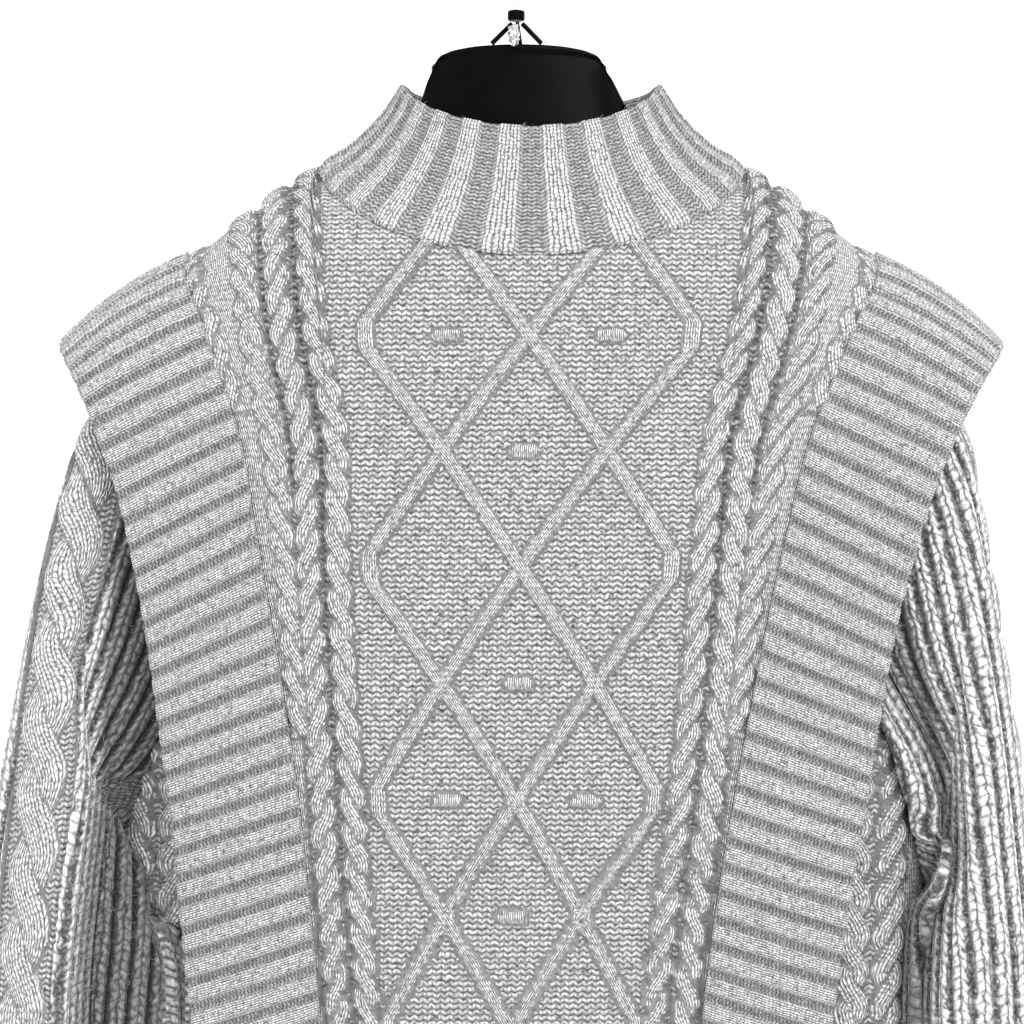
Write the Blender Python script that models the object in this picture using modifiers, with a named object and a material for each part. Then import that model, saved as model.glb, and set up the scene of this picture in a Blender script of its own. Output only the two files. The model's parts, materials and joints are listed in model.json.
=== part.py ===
"""Cable-knit sweater dress on a black hanging half-torso form.

Metres, +Z up. The origin is the top of the hook's inside, where a rail holds it.
The front of the garment faces -Y. Each panel is a wall: a plain inside, and an
outside that carries the ribs, cables and cords at their real height.
"""

import math

import bpy
import numpy as np
from mathutils import Vector
from mathutils.geometry import delaunay_2d_cdt
from mathutils.kdtree import KDTree

# ------------------------------------------------------------ driving sizes
SEAM_GAP = 0.0003          # between two pieces at a seam
KNIT_WALL = 0.0026         # front, back and sleeves, without what is raised on them
RIB_WALL = 0.0028          # collar and shoulder bands
FORM_WALL = 0.0024         # moulded plastic
FORM_CLEAR = 0.0028        # between the knit and the form's shoulders

HEM_Z = -1.020
NECK_HALF, NECK_TOP_Z = 0.122, -0.148
NECK_DROP_FRONT, NECK_DROP_BACK = 0.054, 0.024
SHOULDER_ROLL = 0.075      # height over which the shoulder rounds into the front
ROLL_RISE = (math.pi / 2 - 1) * SHOULDER_ROLL
BROAD, SQUARE = 0.10, 0.26  # how much boxier than an ellipse a section is
TURN_END_Z, TURN_ROW = -0.270, 0.018  # closer rows of points above this height
SPOT_STEP, SPOT_CLEAR = (0.034, 0.045), 0.012  # single points over plain knitting
SPREAD = 0.17              # flat width of a panel for each radian of its section

CABLE_HALF, CABLE_HIGH, CABLE_PITCH = 0.0085, 0.0042, 0.0192
SIDE_CABLE_X = 0.200       # the cable down the body's side, from the middle
CORD_HALF, CORD_HIGH = 0.0045, 0.0034
LATTICE_TOP_Z, LATTICE_STEP = -0.247, 0.1285
BOBBLE_HALF_WIDE, BOBBLE_HALF_TALL, BOBBLE_HIGH = 0.0095, 0.0045, 0.0038

COLLAR_RIBS, COLLAR_RIB_HIGH = 26, 0.0022
COLLAR_MIDDLE = 0.0076     # how far to the right the neck sits
COLLAR_LIFT, COLLAR_SIDE_LIFT = 0.0011, 0.0020  # its seam over the panels' edge
BAND_RIB_PITCH, BAND_RIB_HIGH = 0.0146, 0.0022
BAND_WIDTH, BAND_END_Z = 0.080, -0.820
BAND_LIFT = RIB_WALL + 0.0007
BAND_BOW, BAND_BOW_REACH = 0.008, 0.12
CREST_LIFT = 0.0042        # more room where the band folds over the shoulder
SLEEVE_RIB_PITCH, SLEEVE_RIB_HIGH = 0.0118, 0.0020
SLEEVE_CABLE_HALF, SLEEVE_CABLE_HIGH, SLEEVE_CABLE_PITCH = 0.0150, 0.0055, 0.041
SLEEVE_CABLE_AT = {-1: 0.034, 1: 0.006}  # along the girth, from the sleeve's outer line
ARMHOLE_GAP = {-1: 0.0017, 1: 0.0010}  # moves the sleeve off the panels, on each side
TUCK_ANGLE, TUCK_WIDTH = math.radians(112), math.radians(16)

FORM_BOTTOM_Z = -0.620
FORM_NECK_HALF, FORM_NECK_DROP = 0.076, 0.056
FORM_EDGE = 0.006          # how far in front of the shoulder line the shell ends
PLATE_HALF, PLATE_MIDDLE = 0.0495, 0.0005

HOOK_WIRE, HOOK_INSIDE = 0.0014, 0.020
STRUT_HALF = 0.0014
HANGER_Y = -0.0236         # the plane of the hook, knob and struts, over the neck plate
KNOB_Z, KNOB_HALF, KNOB_TALL = -0.0618, 0.0049, 0.0058


class Table:
    """Rows of named columns. A column is read smoothly at any value of the first."""

    def __init__(self, names, *rows):
        self.names = names
        self.rows = np.array(sorted(rows), dtype=float)

    def __call__(self, name, at):
        key, value = self.rows[:, 0], self.rows[:, self.names.index(name)]
        slope = np.gradient(value, key)
        at = np.clip(at, key[0], key[-1])
        i = np.clip(np.searchsorted(key, at) - 1, 0, len(key) - 2)
        step = key[i + 1] - key[i]
        t = (at - key[i]) / step
        return ((1 + 2 * t) * (1 - t) ** 2 * value[i] + t * (1 - t) ** 2 * step * slope[i]
                + t * t * (3 - 2 * t) * value[i + 1] - t * t * (1 - t) * step * slope[i + 1])


# Sections of the body: its middle, the half-widths and the depths at a height.
BODY = Table(
    ("z", "middle", "left", "right", "front", "back"),
    (-0.100, 0.0080, 0.214, 0.214, 0.054, 0.044),
    (-0.200, 0.0075, 0.222, 0.222, 0.062, 0.046),
    (-0.260, 0.0055, 0.224, 0.224, 0.070, 0.048),
    (-0.370, 0.0015, 0.225, 0.228, 0.079, 0.050),
    (-0.500, -0.0010, 0.227, 0.233, 0.079, 0.047),
    (-0.553, -0.0025, 0.228, 0.2355, 0.076, 0.045),
    (-0.640, -0.0040, 0.229, 0.231, 0.070, 0.042),
    (-0.800, -0.0050, 0.229, 0.229, 0.062, 0.040),
    (-1.020, -0.0060, 0.234, 0.234, 0.056, 0.040),
)
# The shoulder line, from the neck outwards.
SHOULDER = Table(
    ("x", "z"),
    (0.000, -0.1455), (0.080, -0.1455), (0.122, -0.1480), (0.142, -0.1590),
    (0.172, -0.1810), (0.205, -0.2070), (0.235, -0.2290),
)
# The armhole's edge, as a share of the half-width there.
ARMHOLE = Table(
    ("z", "share"),
    (-0.163, 0.925), (-0.215, 0.900), (-0.270, 0.862), (-0.340, 0.845), (-0.400, 0.845),
    (-0.445, 0.862), (-0.485, 0.905), (-0.521, 0.955), (-0.541, 0.985), (-0.553, 1.000),
)
# Lines down the front, each as a distance from the middle.
LINES = Table(
    ("z", "band_seam", "cable_b", "cable_c", "cable_d", "lattice"),
    (-0.110, 0.1965, 0.1680, 0.1480, 0.1290, 0.0950),
    (-0.165, 0.1955, 0.1660, 0.1460, 0.1270, 0.0950),
    (-0.206, 0.1945, 0.1620, 0.1430, 0.1240, 0.0925),
    (-0.244, 0.1805, 0.1556, 0.1370, 0.1185, 0.0908),
    (-0.308, 0.1570, 0.1395, 0.1220, 0.1046, 0.0864),
    (-0.352, 0.1475, 0.1330, 0.1185, 0.1018, 0.0842),
    (-0.404, 0.1370, 0.1260, 0.1150, 0.0983, 0.0814),
    (-0.503, 0.1200, 0.1160, 0.1070, 0.0902, 0.0759),
    (-0.617, 0.1065, 0.1050, 0.0965, 0.0798, 0.0680),
    (-0.800, 0.0990, 0.0980, 0.0900, 0.0733, 0.0620),
    (-1.020, 0.0980, 0.0970, 0.0890, 0.0723, 0.0610),
)
# The shoulder band's outer edge for places along its seam, by the seam's flat height.
BAND_EDGE = Table(
    ("seam_z", "x", "y_front", "y_back", "z"),
    (-0.1580, 0.2710, 0.000, 0.000, -0.2470),
    (-0.2110, 0.2640, -0.034, 0.027, -0.2590),
    (-0.2360, 0.2535, -0.053, 0.041, -0.2740),
    (-0.2620, 0.2415, -0.066, 0.051, -0.2960),
    (-0.2870, 0.2305, -0.074, 0.056, -0.3200),
    (-0.3450, 0.2135, -0.080, 0.060, -0.3780),
    (-0.4500, 0.1960, -0.080, 0.060, -0.4760),
    (-0.5100, 0.1880, -0.079, 0.058, -0.5330),
    (-0.5600, 0.1820, -0.078, 0.056, -0.5820),
    (-0.6200, 0.1745, -0.076, 0.054, -0.6410),
    (-0.6800, 0.1660, -0.074, 0.052, -0.6980),
    (-0.7400, 0.1440, -0.071, 0.049, -0.7540),
    (-0.7900, 0.1180, -0.066, 0.046, -0.7980),
    (-0.8200, 0.1060, -0.063, 0.044, -0.8240),
)
# Rings of a sleeve from the armhole to the cuff: outer and inner point, middle, depth.
RING_COLUMNS = ("ring", "outer_x", "outer_z", "inner_x", "inner_z", "y", "depth", "fold", "tuck")
SLEEVE_LEFT = Table(
    RING_COLUMNS,
    (0, 0.2075, -0.2070, 0.2275, -0.5545, -0.006, 0.045, 0.00, 0.000),
    (1, 0.2225, -0.2420, 0.2305, -0.5560, -0.009, 0.048, 0.00, 0.000),
    (2, 0.2400, -0.2750, 0.2330, -0.5575, -0.014, 0.050, 0.02, 0.000),
    (3, 0.2520, -0.3080, 0.2345, -0.5590, -0.020, 0.052, 0.05, 0.000),
    (4, 0.2610, -0.3470, 0.2345, -0.5610, -0.027, 0.053, 0.08, 0.000),
    (5, 0.2690, -0.3910, 0.2330, -0.5640, -0.034, 0.053, 0.12, 0.000),
    (6, 0.2760, -0.4360, 0.2300, -0.5690, -0.042, 0.052, 0.15, 0.000),
    (7, 0.2820, -0.4800, 0.2250, -0.5760, -0.050, 0.050, 0.18, 0.000),
    (8, 0.2880, -0.5250, 0.2190, -0.5870, -0.057, 0.048, 0.20, 0.000),
    (9, 0.2925, -0.5650, 0.2130, -0.6050, -0.062, 0.046, 0.20, 0.000),
    (10, 0.2960, -0.6050, 0.2120, -0.6350, -0.064, 0.045, 0.20, 0.000),
    (11, 0.3000, -0.6450, 0.2160, -0.6680, -0.064, 0.044, 0.16, 0.000),
    (12, 0.3050, -0.6900, 0.2250, -0.7070, -0.062, 0.042, 0.12, 0.000),
    (13, 0.3095, -0.7350, 0.2350, -0.7460, -0.060, 0.040, 0.08, 0.000),
    (14, 0.3130, -0.7650, 0.2420, -0.7740, -0.058, 0.037, 0.05, 0.000),
    (15, 0.3145, -0.7880, 0.2450, -0.7960, -0.057, 0.035, 0.05, 0.000),
)
SLEEVE_RIGHT = Table(
    RING_COLUMNS,
    (0, 0.2075, -0.2070, 0.2350, -0.5545, -0.006, 0.045, 0.00, 0.000),
    (1, 0.2240, -0.2400, 0.2390, -0.5580, -0.008, 0.049, 0.00, 0.004),
    (2, 0.2390, -0.2730, 0.2430, -0.5620, -0.011, 0.053, 0.00, 0.009),
    (3, 0.2495, -0.3030, 0.2460, -0.5650, -0.014, 0.055, 0.00, 0.013),
    (4, 0.2580, -0.3420, 0.2480, -0.5660, -0.017, 0.056, 0.00, 0.015),
    (5, 0.2660, -0.3860, 0.2490, -0.5650, -0.020, 0.057, 0.00, 0.015),
    (6, 0.2730, -0.4310, 0.2490, -0.5660, -0.023, 0.058, 0.00, 0.013),
    (7, 0.2800, -0.4760, 0.2480, -0.5710, -0.025, 0.058, 0.00, 0.009),
    (8, 0.2865, -0.5210, 0.2465, -0.5830, -0.027, 0.057, 0.00, 0.004),
    (9, 0.2925, -0.5610, 0.2455, -0.6030, -0.028, 0.056, 0.00, 0.000),
    (10, 0.2990, -0.6010, 0.2450, -0.6310, -0.028, 0.054, 0.00, 0.000),
    (11, 0.3035, -0.6410, 0.2460, -0.6640, -0.029, 0.052, 0.00, 0.000),
    (12, 0.3080, -0.6900, 0.2500, -0.7050, -0.029, 0.048, 0.00, 0.000),
    (13, 0.3125, -0.7350, 0.2540, -0.7450, -0.028, 0.044, 0.00, 0.000),
    (14, 0.3155, -0.7650, 0.2570, -0.7730, -0.028, 0.041, 0.00, 0.000),
    (15, 0.3170, -0.7880, 0.2590, -0.7950, -0.028, 0.039, 0.00, 0.000),
)
LAST_RING = 15
# The neck of the form, from the plate's top edge down to its root.
PLATE = Table(
    ("x", "top_z"),
    (0.000, -0.0788), (0.015, -0.0792), (0.030, -0.0806), (0.040, -0.0828),
    (0.046, -0.0858), (0.0495, -0.0905),
)


# ------------------------------------------------------------ smooth surfaces
def shoulder_z(x):
    return SHOULDER("z", np.abs(x))


def half_width(theta, z):
    return np.where(theta < 0, BODY("left", z), BODY("right", z))


def angle_at(distance, z):
    """The angle round the section at which a point is that far from the middle."""
    share = np.clip(distance / half_width(np.sign(distance), z), -1, 1)
    angles = np.linspace(-math.pi / 2, math.pi / 2, 361)
    shares = np.sin(angles) * (1 + BROAD * np.cos(angles) ** 2)
    return np.interp(share, shares, angles)


def body_point(face, flat_x, flat_z):
    """The knitted tube's front (face -1) or back (face 1). flat_z is the height, or
    more than the height where the cloth turns over the shoulder."""
    theta = flat_x / SPREAD
    across = half_width(theta, flat_z) * np.sin(theta) * (1 + BROAD * np.cos(theta) ** 2)
    crest = shoulder_z(across)
    turn = np.clip((crest + ROLL_RISE - flat_z) / SHOULDER_ROLL, 0, math.pi / 2)
    z = np.where(turn < math.pi / 2, crest - SHOULDER_ROLL * (1 - np.cos(turn)), flat_z)
    depth = BODY("front" if face < 0 else "back", flat_z)
    profile = np.cos(theta) * (1 + SQUARE * np.sin(theta) ** 2)
    y = face * (depth * profile * np.sin(turn) + SEAM_GAP / 2)
    return np.stack([BODY("middle", flat_z) + across, y, z], axis=-1)


def flat_height(x, z):
    """flat_z of a point at distance x from the middle and height z."""
    crest = shoulder_z(x)
    turn = np.arccos(np.clip(1 - (crest - z) / SHOULDER_ROLL, 0, 1))
    return np.where(z > crest - SHOULDER_ROLL, crest + ROLL_RISE - SHOULDER_ROLL * turn, z)


def normals(surface, u, v, outward):
    """Unit normals of surface(u, v), by differences. outward is 1 or -1."""
    step = 2e-4
    along = surface(u + step, v) - surface(u - step, v)
    down = surface(u, v + step) - surface(u, v - step)
    normal = np.cross(along, down) * outward
    return normal / np.linalg.norm(normal, axis=-1, keepdims=True)


# ------------------------------------------------------------ flat nets and walls
def inside(outline, points, margin):
    """Which points lie inside the outline, and at least margin from its edges."""
    corners = np.array(outline)
    points = np.atleast_2d(points)
    crossings = np.zeros(len(points), dtype=int)
    nearest = np.full(len(points), np.inf)
    for (x0, y0), (x1, y1) in zip(corners, np.roll(corners, -1, axis=0)):
        spans = (y0 > points[:, 1]) != (y1 > points[:, 1])
        rise = y1 - y0 if y1 != y0 else 1.0
        crossings += spans & (points[:, 0] < x0 + (points[:, 1] - y0) * (x1 - x0) / rise)
        edge = np.array([x1 - x0, y1 - y0])
        away = points - [x0, y0]
        share = np.clip(away @ edge / max(edge @ edge, 1e-12), 0, 1)
        nearest = np.minimum(nearest, np.linalg.norm(away - share[:, None] * edge, axis=1))
    return (crossings % 2 == 1) & (nearest >= margin)


def net(outline, lines, margin=0.002):
    """Triangles of a flat outline, with the parts of the lines that are inside it."""
    points, edges = [], []
    for line in lines:
        kept = inside(outline, line, margin)
        last = None
        for point, keep in zip(line, kept):
            if keep:
                points.append(point)
                if last is not None:
                    edges.append((last, len(points) - 1))
            last = len(points) - 1 if keep else None
    count = len(outline)
    rim = [(i, (i + 1) % count) for i in range(count)]
    inner = [(a + count, b + count) for a, b in edges]
    flat = [Vector(p) for p in list(outline) + points]
    found = delaunay_2d_cdt(flat, rim + inner, [], 1, 1e-6)
    return np.array([tuple(v) for v in found[0]]), [tuple(f) for f in found[2]]


def filler(outline, step_x, step_y, margin):
    """Single points on a grid, each a line of its own: closer rows where shoulders turn."""
    low, high = np.min(outline, axis=0), np.max(outline, axis=0)
    columns = np.linspace(low[0], high[0], round((high[0] - low[0]) / step_x) + 1)
    rows = np.concatenate([np.arange(high[1], TURN_END_Z, -TURN_ROW),
                           np.arange(TURN_END_Z, low[1], -step_y)])
    points = np.array([(x, y) for y in rows for x in columns])
    return [[p] for p in points[inside(outline, points, margin)]]


def free_edges(faces):
    """Edges that one face alone has, as pairs."""
    directed = {(a, b) for face in faces for a, b in zip(face, face[1:] + face[:1])}
    return {(a, b) for a, b in directed if (b, a) not in directed}


def free_loops(faces):
    follow = dict(free_edges(faces))
    loops = []
    while follow:
        start, at = follow.popitem()
        loop = [start]
        while at != start:
            loop.append(at)
            at = follow.pop(at)
        loops.append(loop)
    return loops


def finder(points):
    """A tree that finds the nearest of the points."""
    tree = KDTree(len(points))
    for number, point in enumerate(points):
        tree.insert(point, number)
    tree.balance()
    return tree


def welded(base, faces):
    """The faces, with the first of each set of points that lie together."""
    tree = finder(base)
    first = [min(found[1] for found in tree.find_range(point, 1e-4)) for point in base]
    joined = [tuple(first[i] for i in face) for face in faces]
    return [face for face in joined if len(set(face)) == len(face)]


def rim_faces(outer_loop, inner_loop, outer_base, inner_base):
    """Triangles between the two loops. Each inner point has its twin in the outer loop."""
    tree = finder([outer_base[v] for v in outer_loop])
    inner_loop = inner_loop[::-1]
    where = [tree.find(inner_base[v])[1] for v in inner_loop]
    count, faces = len(outer_loop), []
    for j, start in enumerate(where):
        near, far = inner_loop[j], inner_loop[(j + 1) % len(where)]
        end = where[(j + 1) % len(where)]
        steps = (end - start) % count or count
        middle = steps // 2
        for k in range(steps):
            a, b = outer_loop[(start + k) % count], outer_loop[(start + k + 1) % count]
            if k == middle:
                faces.append((("o", a), ("i", near), ("i", far)))
            faces.append((("o", b), ("o", a), ("i", near if k < middle else far)))
    return faces


def wall(name, surface, outer, inner, high, thickness, outward, material):
    """A closed wall: the outer net raised by high(u, v), the inner one set back."""
    outer_flat, outer_faces = outer
    inner_flat, inner_faces = inner
    outer_base = surface(outer_flat[:, 0], outer_flat[:, 1])
    inner_base = surface(inner_flat[:, 0], inner_flat[:, 1])
    outer_faces = welded(outer_base, outer_faces)
    inner_faces = welded(inner_base, inner_faces)
    if outward < 0:
        outer_faces = [face[::-1] for face in outer_faces]
    else:
        inner_faces = [face[::-1] for face in inner_faces]
    raised = high(outer_flat[:, 0], outer_flat[:, 1])[:, None]
    outer_points = outer_base + raised * normals(surface, *outer_flat.T, outward)
    inner_points = inner_base - thickness * normals(surface, *inner_flat.T, outward)
    shift = len(outer_points)
    faces = list(outer_faces) + [tuple(i + shift for i in face) for face in inner_faces]
    inner_loops = free_loops(inner_faces)
    for outer_loop in free_loops(outer_faces):
        tree = finder([outer_base[v] for v in outer_loop])
        inner_loop = min(inner_loops, key=lambda loop: tree.find(inner_base[loop[0]])[2])
        for face in rim_faces(outer_loop, inner_loop, outer_base, inner_base):
            faces.append(tuple(i + (shift if side == "i" else 0) for side, i in face))
    return solid(name, np.vstack([outer_points, inner_points]), faces, material)


def solid(name, points, faces, material):
    used = sorted({i for face in faces for i in face})
    number = {old: new for new, old in enumerate(used)}
    mesh = bpy.data.meshes.new(name)
    mesh.from_pydata([tuple(points[i]) for i in used], [],
                     [tuple(number[i] for i in face) for face in faces])
    mesh.shade_smooth()
    mesh.set_sharp_from_angle(angle=math.radians(35))
    mesh.materials.append(material)
    piece = bpy.data.objects.new(name, mesh)
    bpy.data.collections["sweater_dress"].objects.link(piece)
    return piece


# ------------------------------------------------------------ what is raised on the front
def to_flat(distance, flat_z):
    return angle_at(distance, flat_z) * SPREAD


def front_line(name, side):
    return lambda flat_z: side * LINES(name, flat_z)


def side_cable(side):
    """The cable down the body's side, past the band's outer edge."""
    return lambda flat_z: side * SIDE_CABLE_X


FRONT_CABLES = [(front_line(name, side), lean * side, top, bottom)
                for side in (-1, 1)
                for name, lean, top, bottom in (("cable_b", -1, -0.118, -0.345),
                                                ("cable_c", 1, -0.110, -0.965),
                                                ("cable_d", -1, -0.105, -0.965))]
FRONT_CABLES += [(side_cable(side), side, -0.560, -0.940) for side in (-1, 1)]


def cable_high(distance, flat_z):
    """Height of the rope cables: lobes that lean, with a crease between two."""
    high = np.zeros_like(distance)
    for line, lean, top, bottom in FRONT_CABLES:
        off = (distance - line(flat_z)) / CABLE_HALF
        phase = (top - flat_z) / CABLE_PITCH + 0.35 * lean * off
        lobe = CABLE_HIGH * (1 - np.clip(np.abs(off), 0, 1) ** 4)
        lobe = lobe * (0.40 + 0.60 * np.abs(np.sin(math.pi * phase)))
        high = np.where((flat_z < top) & (flat_z > bottom), np.maximum(high, lobe), high)
    return high


def lattice_x(start, flat_z):
    """One cord of the lattice: it swings from side to side in four steps of height."""
    share = ((LATTICE_TOP_Z - flat_z) / LATTICE_STEP + start) % 4
    swing = np.abs(share - 2) - 1
    return np.clip(1.06 * swing, -1, 1) * LINES("lattice", flat_z)


def cord_high(distance, flat_z):
    high = np.zeros_like(distance)
    for start in range(4):
        slope = LINES("lattice", flat_z) / LATTICE_STEP
        away = np.abs(distance - lattice_x(start, flat_z)) / np.sqrt(1 + slope ** 2)
        high = np.maximum(high, CORD_HIGH * (1 - np.clip(away / CORD_HALF, 0, 1) ** 2))
    return high


def bobbles():
    """Places of the bobbles: in each middle diamond, and in every second side one."""
    places = []
    for step in range(5):
        level = LATTICE_TOP_Z - step * LATTICE_STEP
        places.append((0.0, level - LATTICE_STEP / 2))
        if step % 2 == 0:
            half = float(LINES("lattice", level)) / 2
            places += [(-half, level), (half, level)]
    return places


def bobble_high(distance, flat_z):
    high = np.zeros_like(distance)
    for x, z in bobbles():
        away = ((distance - x) / BOBBLE_HALF_WIDE) ** 2 + ((flat_z - z) / BOBBLE_HALF_TALL) ** 2
        high = np.maximum(high, BOBBLE_HIGH * np.sqrt(np.clip(1 - away, 0, 1)))
    return high


def front_high(flat_x, flat_z):
    theta = flat_x / SPREAD
    distance = half_width(theta, flat_z) * np.sin(theta) * (1 + BROAD * np.cos(theta) ** 2)
    return np.maximum(np.maximum(cable_high(distance, flat_z), cord_high(distance, flat_z)),
                      bobble_high(distance, flat_z))


def front_lines():
    """The lines of the front's net: across each cable, along each cord, round each bobble."""
    lines = []
    for line, lean, top, bottom in FRONT_CABLES:
        across = np.array([-1, 0, 1]) * CABLE_HALF
        rows = []
        for half in range(int((top - bottom) / CABLE_PITCH * 2)):
            z = top - (half / 2 - 0.35 * lean * across / CABLE_HALF) * CABLE_PITCH
            rows.append(np.stack([to_flat(line(z) + across, z), z], axis=-1))
        lines += [[tuple(p) for p in row] for row in rows]
        lines += [[tuple(row[0]) for row in rows], [tuple(row[-1]) for row in rows]]
    heights = np.arange(LATTICE_TOP_Z + LATTICE_STEP / 2, -0.955, -LATTICE_STEP / 4)
    for start in range(4):
        for off in (-CORD_HALF * 1.2, 0, CORD_HALF * 1.2):
            x = lattice_x(start, heights) + off
            lines.append([tuple(p) for p in np.stack([to_flat(x, heights), heights], axis=-1)])
    for x, z in bobbles():
        ring = [(x + BOBBLE_HALF_WIDE * math.cos(a), z + BOBBLE_HALF_TALL * math.sin(a))
                for a in np.linspace(0, 2 * math.pi, 9)]
        ridge = [(x + share * BOBBLE_HALF_WIDE, z) for share in (-0.55, 0.55)]
        lines += [[(float(to_flat(px, pz)), pz) for px, pz in part] for part in (ring, ridge)]
    return lines


# ------------------------------------------------------------ front and back
def neck_edge(face, count):
    """The neck seam on a panel, from the left shoulder to the right, in flat places."""
    beta = np.linspace(-math.pi / 2, math.pi / 2, count)
    drop = NECK_DROP_FRONT if face < 0 else NECK_DROP_BACK
    x = NECK_HALF * np.sin(beta)
    z = NECK_TOP_Z - drop * np.cos(beta) ** 1.15
    flat_z = flat_height(x, z)
    return np.stack([to_flat(x, flat_z), flat_z], axis=-1)


def armhole_edge(side, count):
    """The armhole, from the shoulder's tip to the underarm, in flat places."""
    share = np.linspace(0, 1, count)
    top, bottom = ARMHOLE.rows[-1, 0], ARMHOLE.rows[0, 0]
    z = top + (bottom - top) * share
    distance = side * ARMHOLE("share", z) * half_width(side, z)
    return np.stack([to_flat(distance, z), z], axis=-1)


def panel_outline(face, neck, shoulder, armhole, side, hem):
    """A panel's cut edge, anticlockwise, with so many points on each stretch."""
    quarter = SPREAD * math.pi / 2
    right_arm, left_arm = armhole_edge(1, armhole), armhole_edge(-1, armhole)
    neck_line = neck_edge(face, neck)
    down = np.linspace(right_arm[-1, 1], HEM_Z, side)
    across = np.linspace(quarter, -quarter, hem)
    edge = [(-quarter, z) for z in down[::-1]][:-1] + [tuple(p) for p in left_arm[::-1]]
    edge += shoulder_edge(left_arm[0], neck_line[0], shoulder)
    edge += [tuple(p) for p in neck_line]
    edge += shoulder_edge(neck_line[-1], right_arm[0], shoulder)
    edge += [tuple(p) for p in right_arm] + [(quarter, z) for z in down[1:]]
    edge += [(x, HEM_Z) for x in across[1:-1]]
    return edge[::-1]


def shoulder_edge(start, end, count):
    """Points on the shoulder line, between two of its points."""
    points = []
    for share in np.linspace(0, 1, count + 2)[1:-1]:
        flat_x = start[0] + share * (end[0] - start[0])
        flat_z = start[1] + share * (end[1] - start[1])
        for _ in range(6):
            across = body_point(-1, flat_x, flat_z)[..., 0] - BODY("middle", flat_z)
            flat_z = float(shoulder_z(across) + ROLL_RISE)
        points.append((float(flat_x), flat_z))
    return points


def panel(name, face, lines, high, material):
    sparse = (13, 3, 13, 14, 15)
    fine = (25, 7, 25, 27, 29) if lines else (25, 3, 25, 27, 29)
    outline, rough = panel_outline(face, *fine), panel_outline(face, *sparse)
    spots = filler(outline, *SPOT_STEP, SPOT_CLEAR)
    inner = net(rough, spots)
    if lines:
        taken = finder([(*point, 0.0) for line in lines for point in line])
        spots = [spot for spot in spots if taken.find((*spot[0], 0.0))[2] > SPOT_CLEAR]
    outer = net(outline, lines + spots)
    surface = lambda u, v: body_point(face, u, v)
    return wall(name, surface, outer, inner, high, KNIT_WALL, -face, material)


# ------------------------------------------------------------ collar
COLLAR = Table(
    ("rise", "half", "front_y", "back_y", "side_z", "front_z", "back_z"),
    (0.00, 0.1220, -0.0590, 0.0350, -0.1480, -0.2020, -0.1720),
    (0.30, 0.1030, -0.0555, 0.0370, -0.1365, -0.1800, -0.1530),
    (0.65, 0.0850, -0.0510, 0.0385, -0.1190, -0.1545, -0.1300),
    (1.00, 0.0730, -0.0460, 0.0390, -0.1010, -0.1290, -0.1080),
)


def collar_point(turn, rise):
    """turn goes once round, from 0 at the back; rise is 0 at the seam and 1 at the top."""
    beta = 2 * math.pi * turn + 0.16 * np.sin(4 * math.pi * turn)
    side, face = np.sin(-beta), np.cos(beta)
    seam = neck_ring(side, face)
    front = face < 0
    half, side_z = COLLAR("half", rise), COLLAR("side_z", rise)
    depth = np.where(front, -COLLAR("front_y", rise), COLLAR("back_y", rise))
    drop = side_z - np.where(front, COLLAR("front_z", rise), COLLAR("back_z", rise))
    ring = np.stack([COLLAR_MIDDLE + half * side, depth * face, side_z - drop * np.abs(face) ** 1.15],
                    axis=-1)
    fade = np.clip(1 - rise / 0.5, 0, 1)[..., None] ** 2
    base_half, base_z = COLLAR("half", 0.0), COLLAR("side_z", 0.0)
    base_depth = np.where(front, -COLLAR("front_y", 0.0), COLLAR("back_y", 0.0))
    base_drop = base_z - np.where(front, COLLAR("front_z", 0.0), COLLAR("back_z", 0.0))
    base = np.stack([COLLAR_MIDDLE + base_half * side, base_depth * face,
                     base_z - base_drop * np.abs(face) ** 1.15], axis=-1)
    lift = np.stack([0 * side, 0 * side, COLLAR_LIFT + COLLAR_SIDE_LIFT * side ** 2], axis=-1)
    return ring + fade * (seam - base) + lift


def neck_ring(side, face):
    """The point of the panels' neck edge in a direction round the neck."""
    x = NECK_HALF * side
    drop = np.where(face < 0, NECK_DROP_FRONT, NECK_DROP_BACK)
    flat_z = flat_height(x, NECK_TOP_Z - drop * np.abs(face) ** 1.15)
    flat_x = to_flat(x, flat_z)
    front, back = body_point(-1, flat_x, flat_z), body_point(1, flat_x, flat_z)
    return np.where((face < 0)[..., None], front, back)


def collar(material):
    def high(turn, rise):
        wave = np.abs((turn * COLLAR_RIBS) % 1 - 0.5)
        return COLLAR_RIB_HIGH * np.clip((0.33 - wave) / 0.08, 0, 1)

    marks = np.array([0.17, 0.25, 0.75, 0.83])
    turns = np.unique(np.round((np.arange(COLLAR_RIBS)[:, None] + marks).ravel() / COLLAR_RIBS, 6))
    rises = np.linspace(0, 1, 4)
    outline = [(t, 0.0) for t in [0.0, *turns, 1.0]] + [(1.0, r) for r in rises[1:]]
    outline += [(t, 1.0) for t in [*turns[::-1], 0.0]] + [(0.0, r) for r in rises[1:-1][::-1]]
    lines = [[(t, r) for r in rises[1:-1]] for t in turns]
    coarse = [0.0, *turns[2::4], 1.0]
    rough = [(t, 0.0) for t in coarse] + [(1.0, r) for r in rises[1:]]
    rough += [(t, 1.0) for t in coarse[::-1]] + [(0.0, r) for r in rises[1:-1][::-1]]
    rough_lines = [[(t, r) for r in rises[1:-1]] for t in coarse[1:-1]]
    wall("collar", collar_point, net(outline, lines, 0.0005), net(rough, rough_lines, 0.0005),
         high, RIB_WALL, 1, material)


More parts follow.
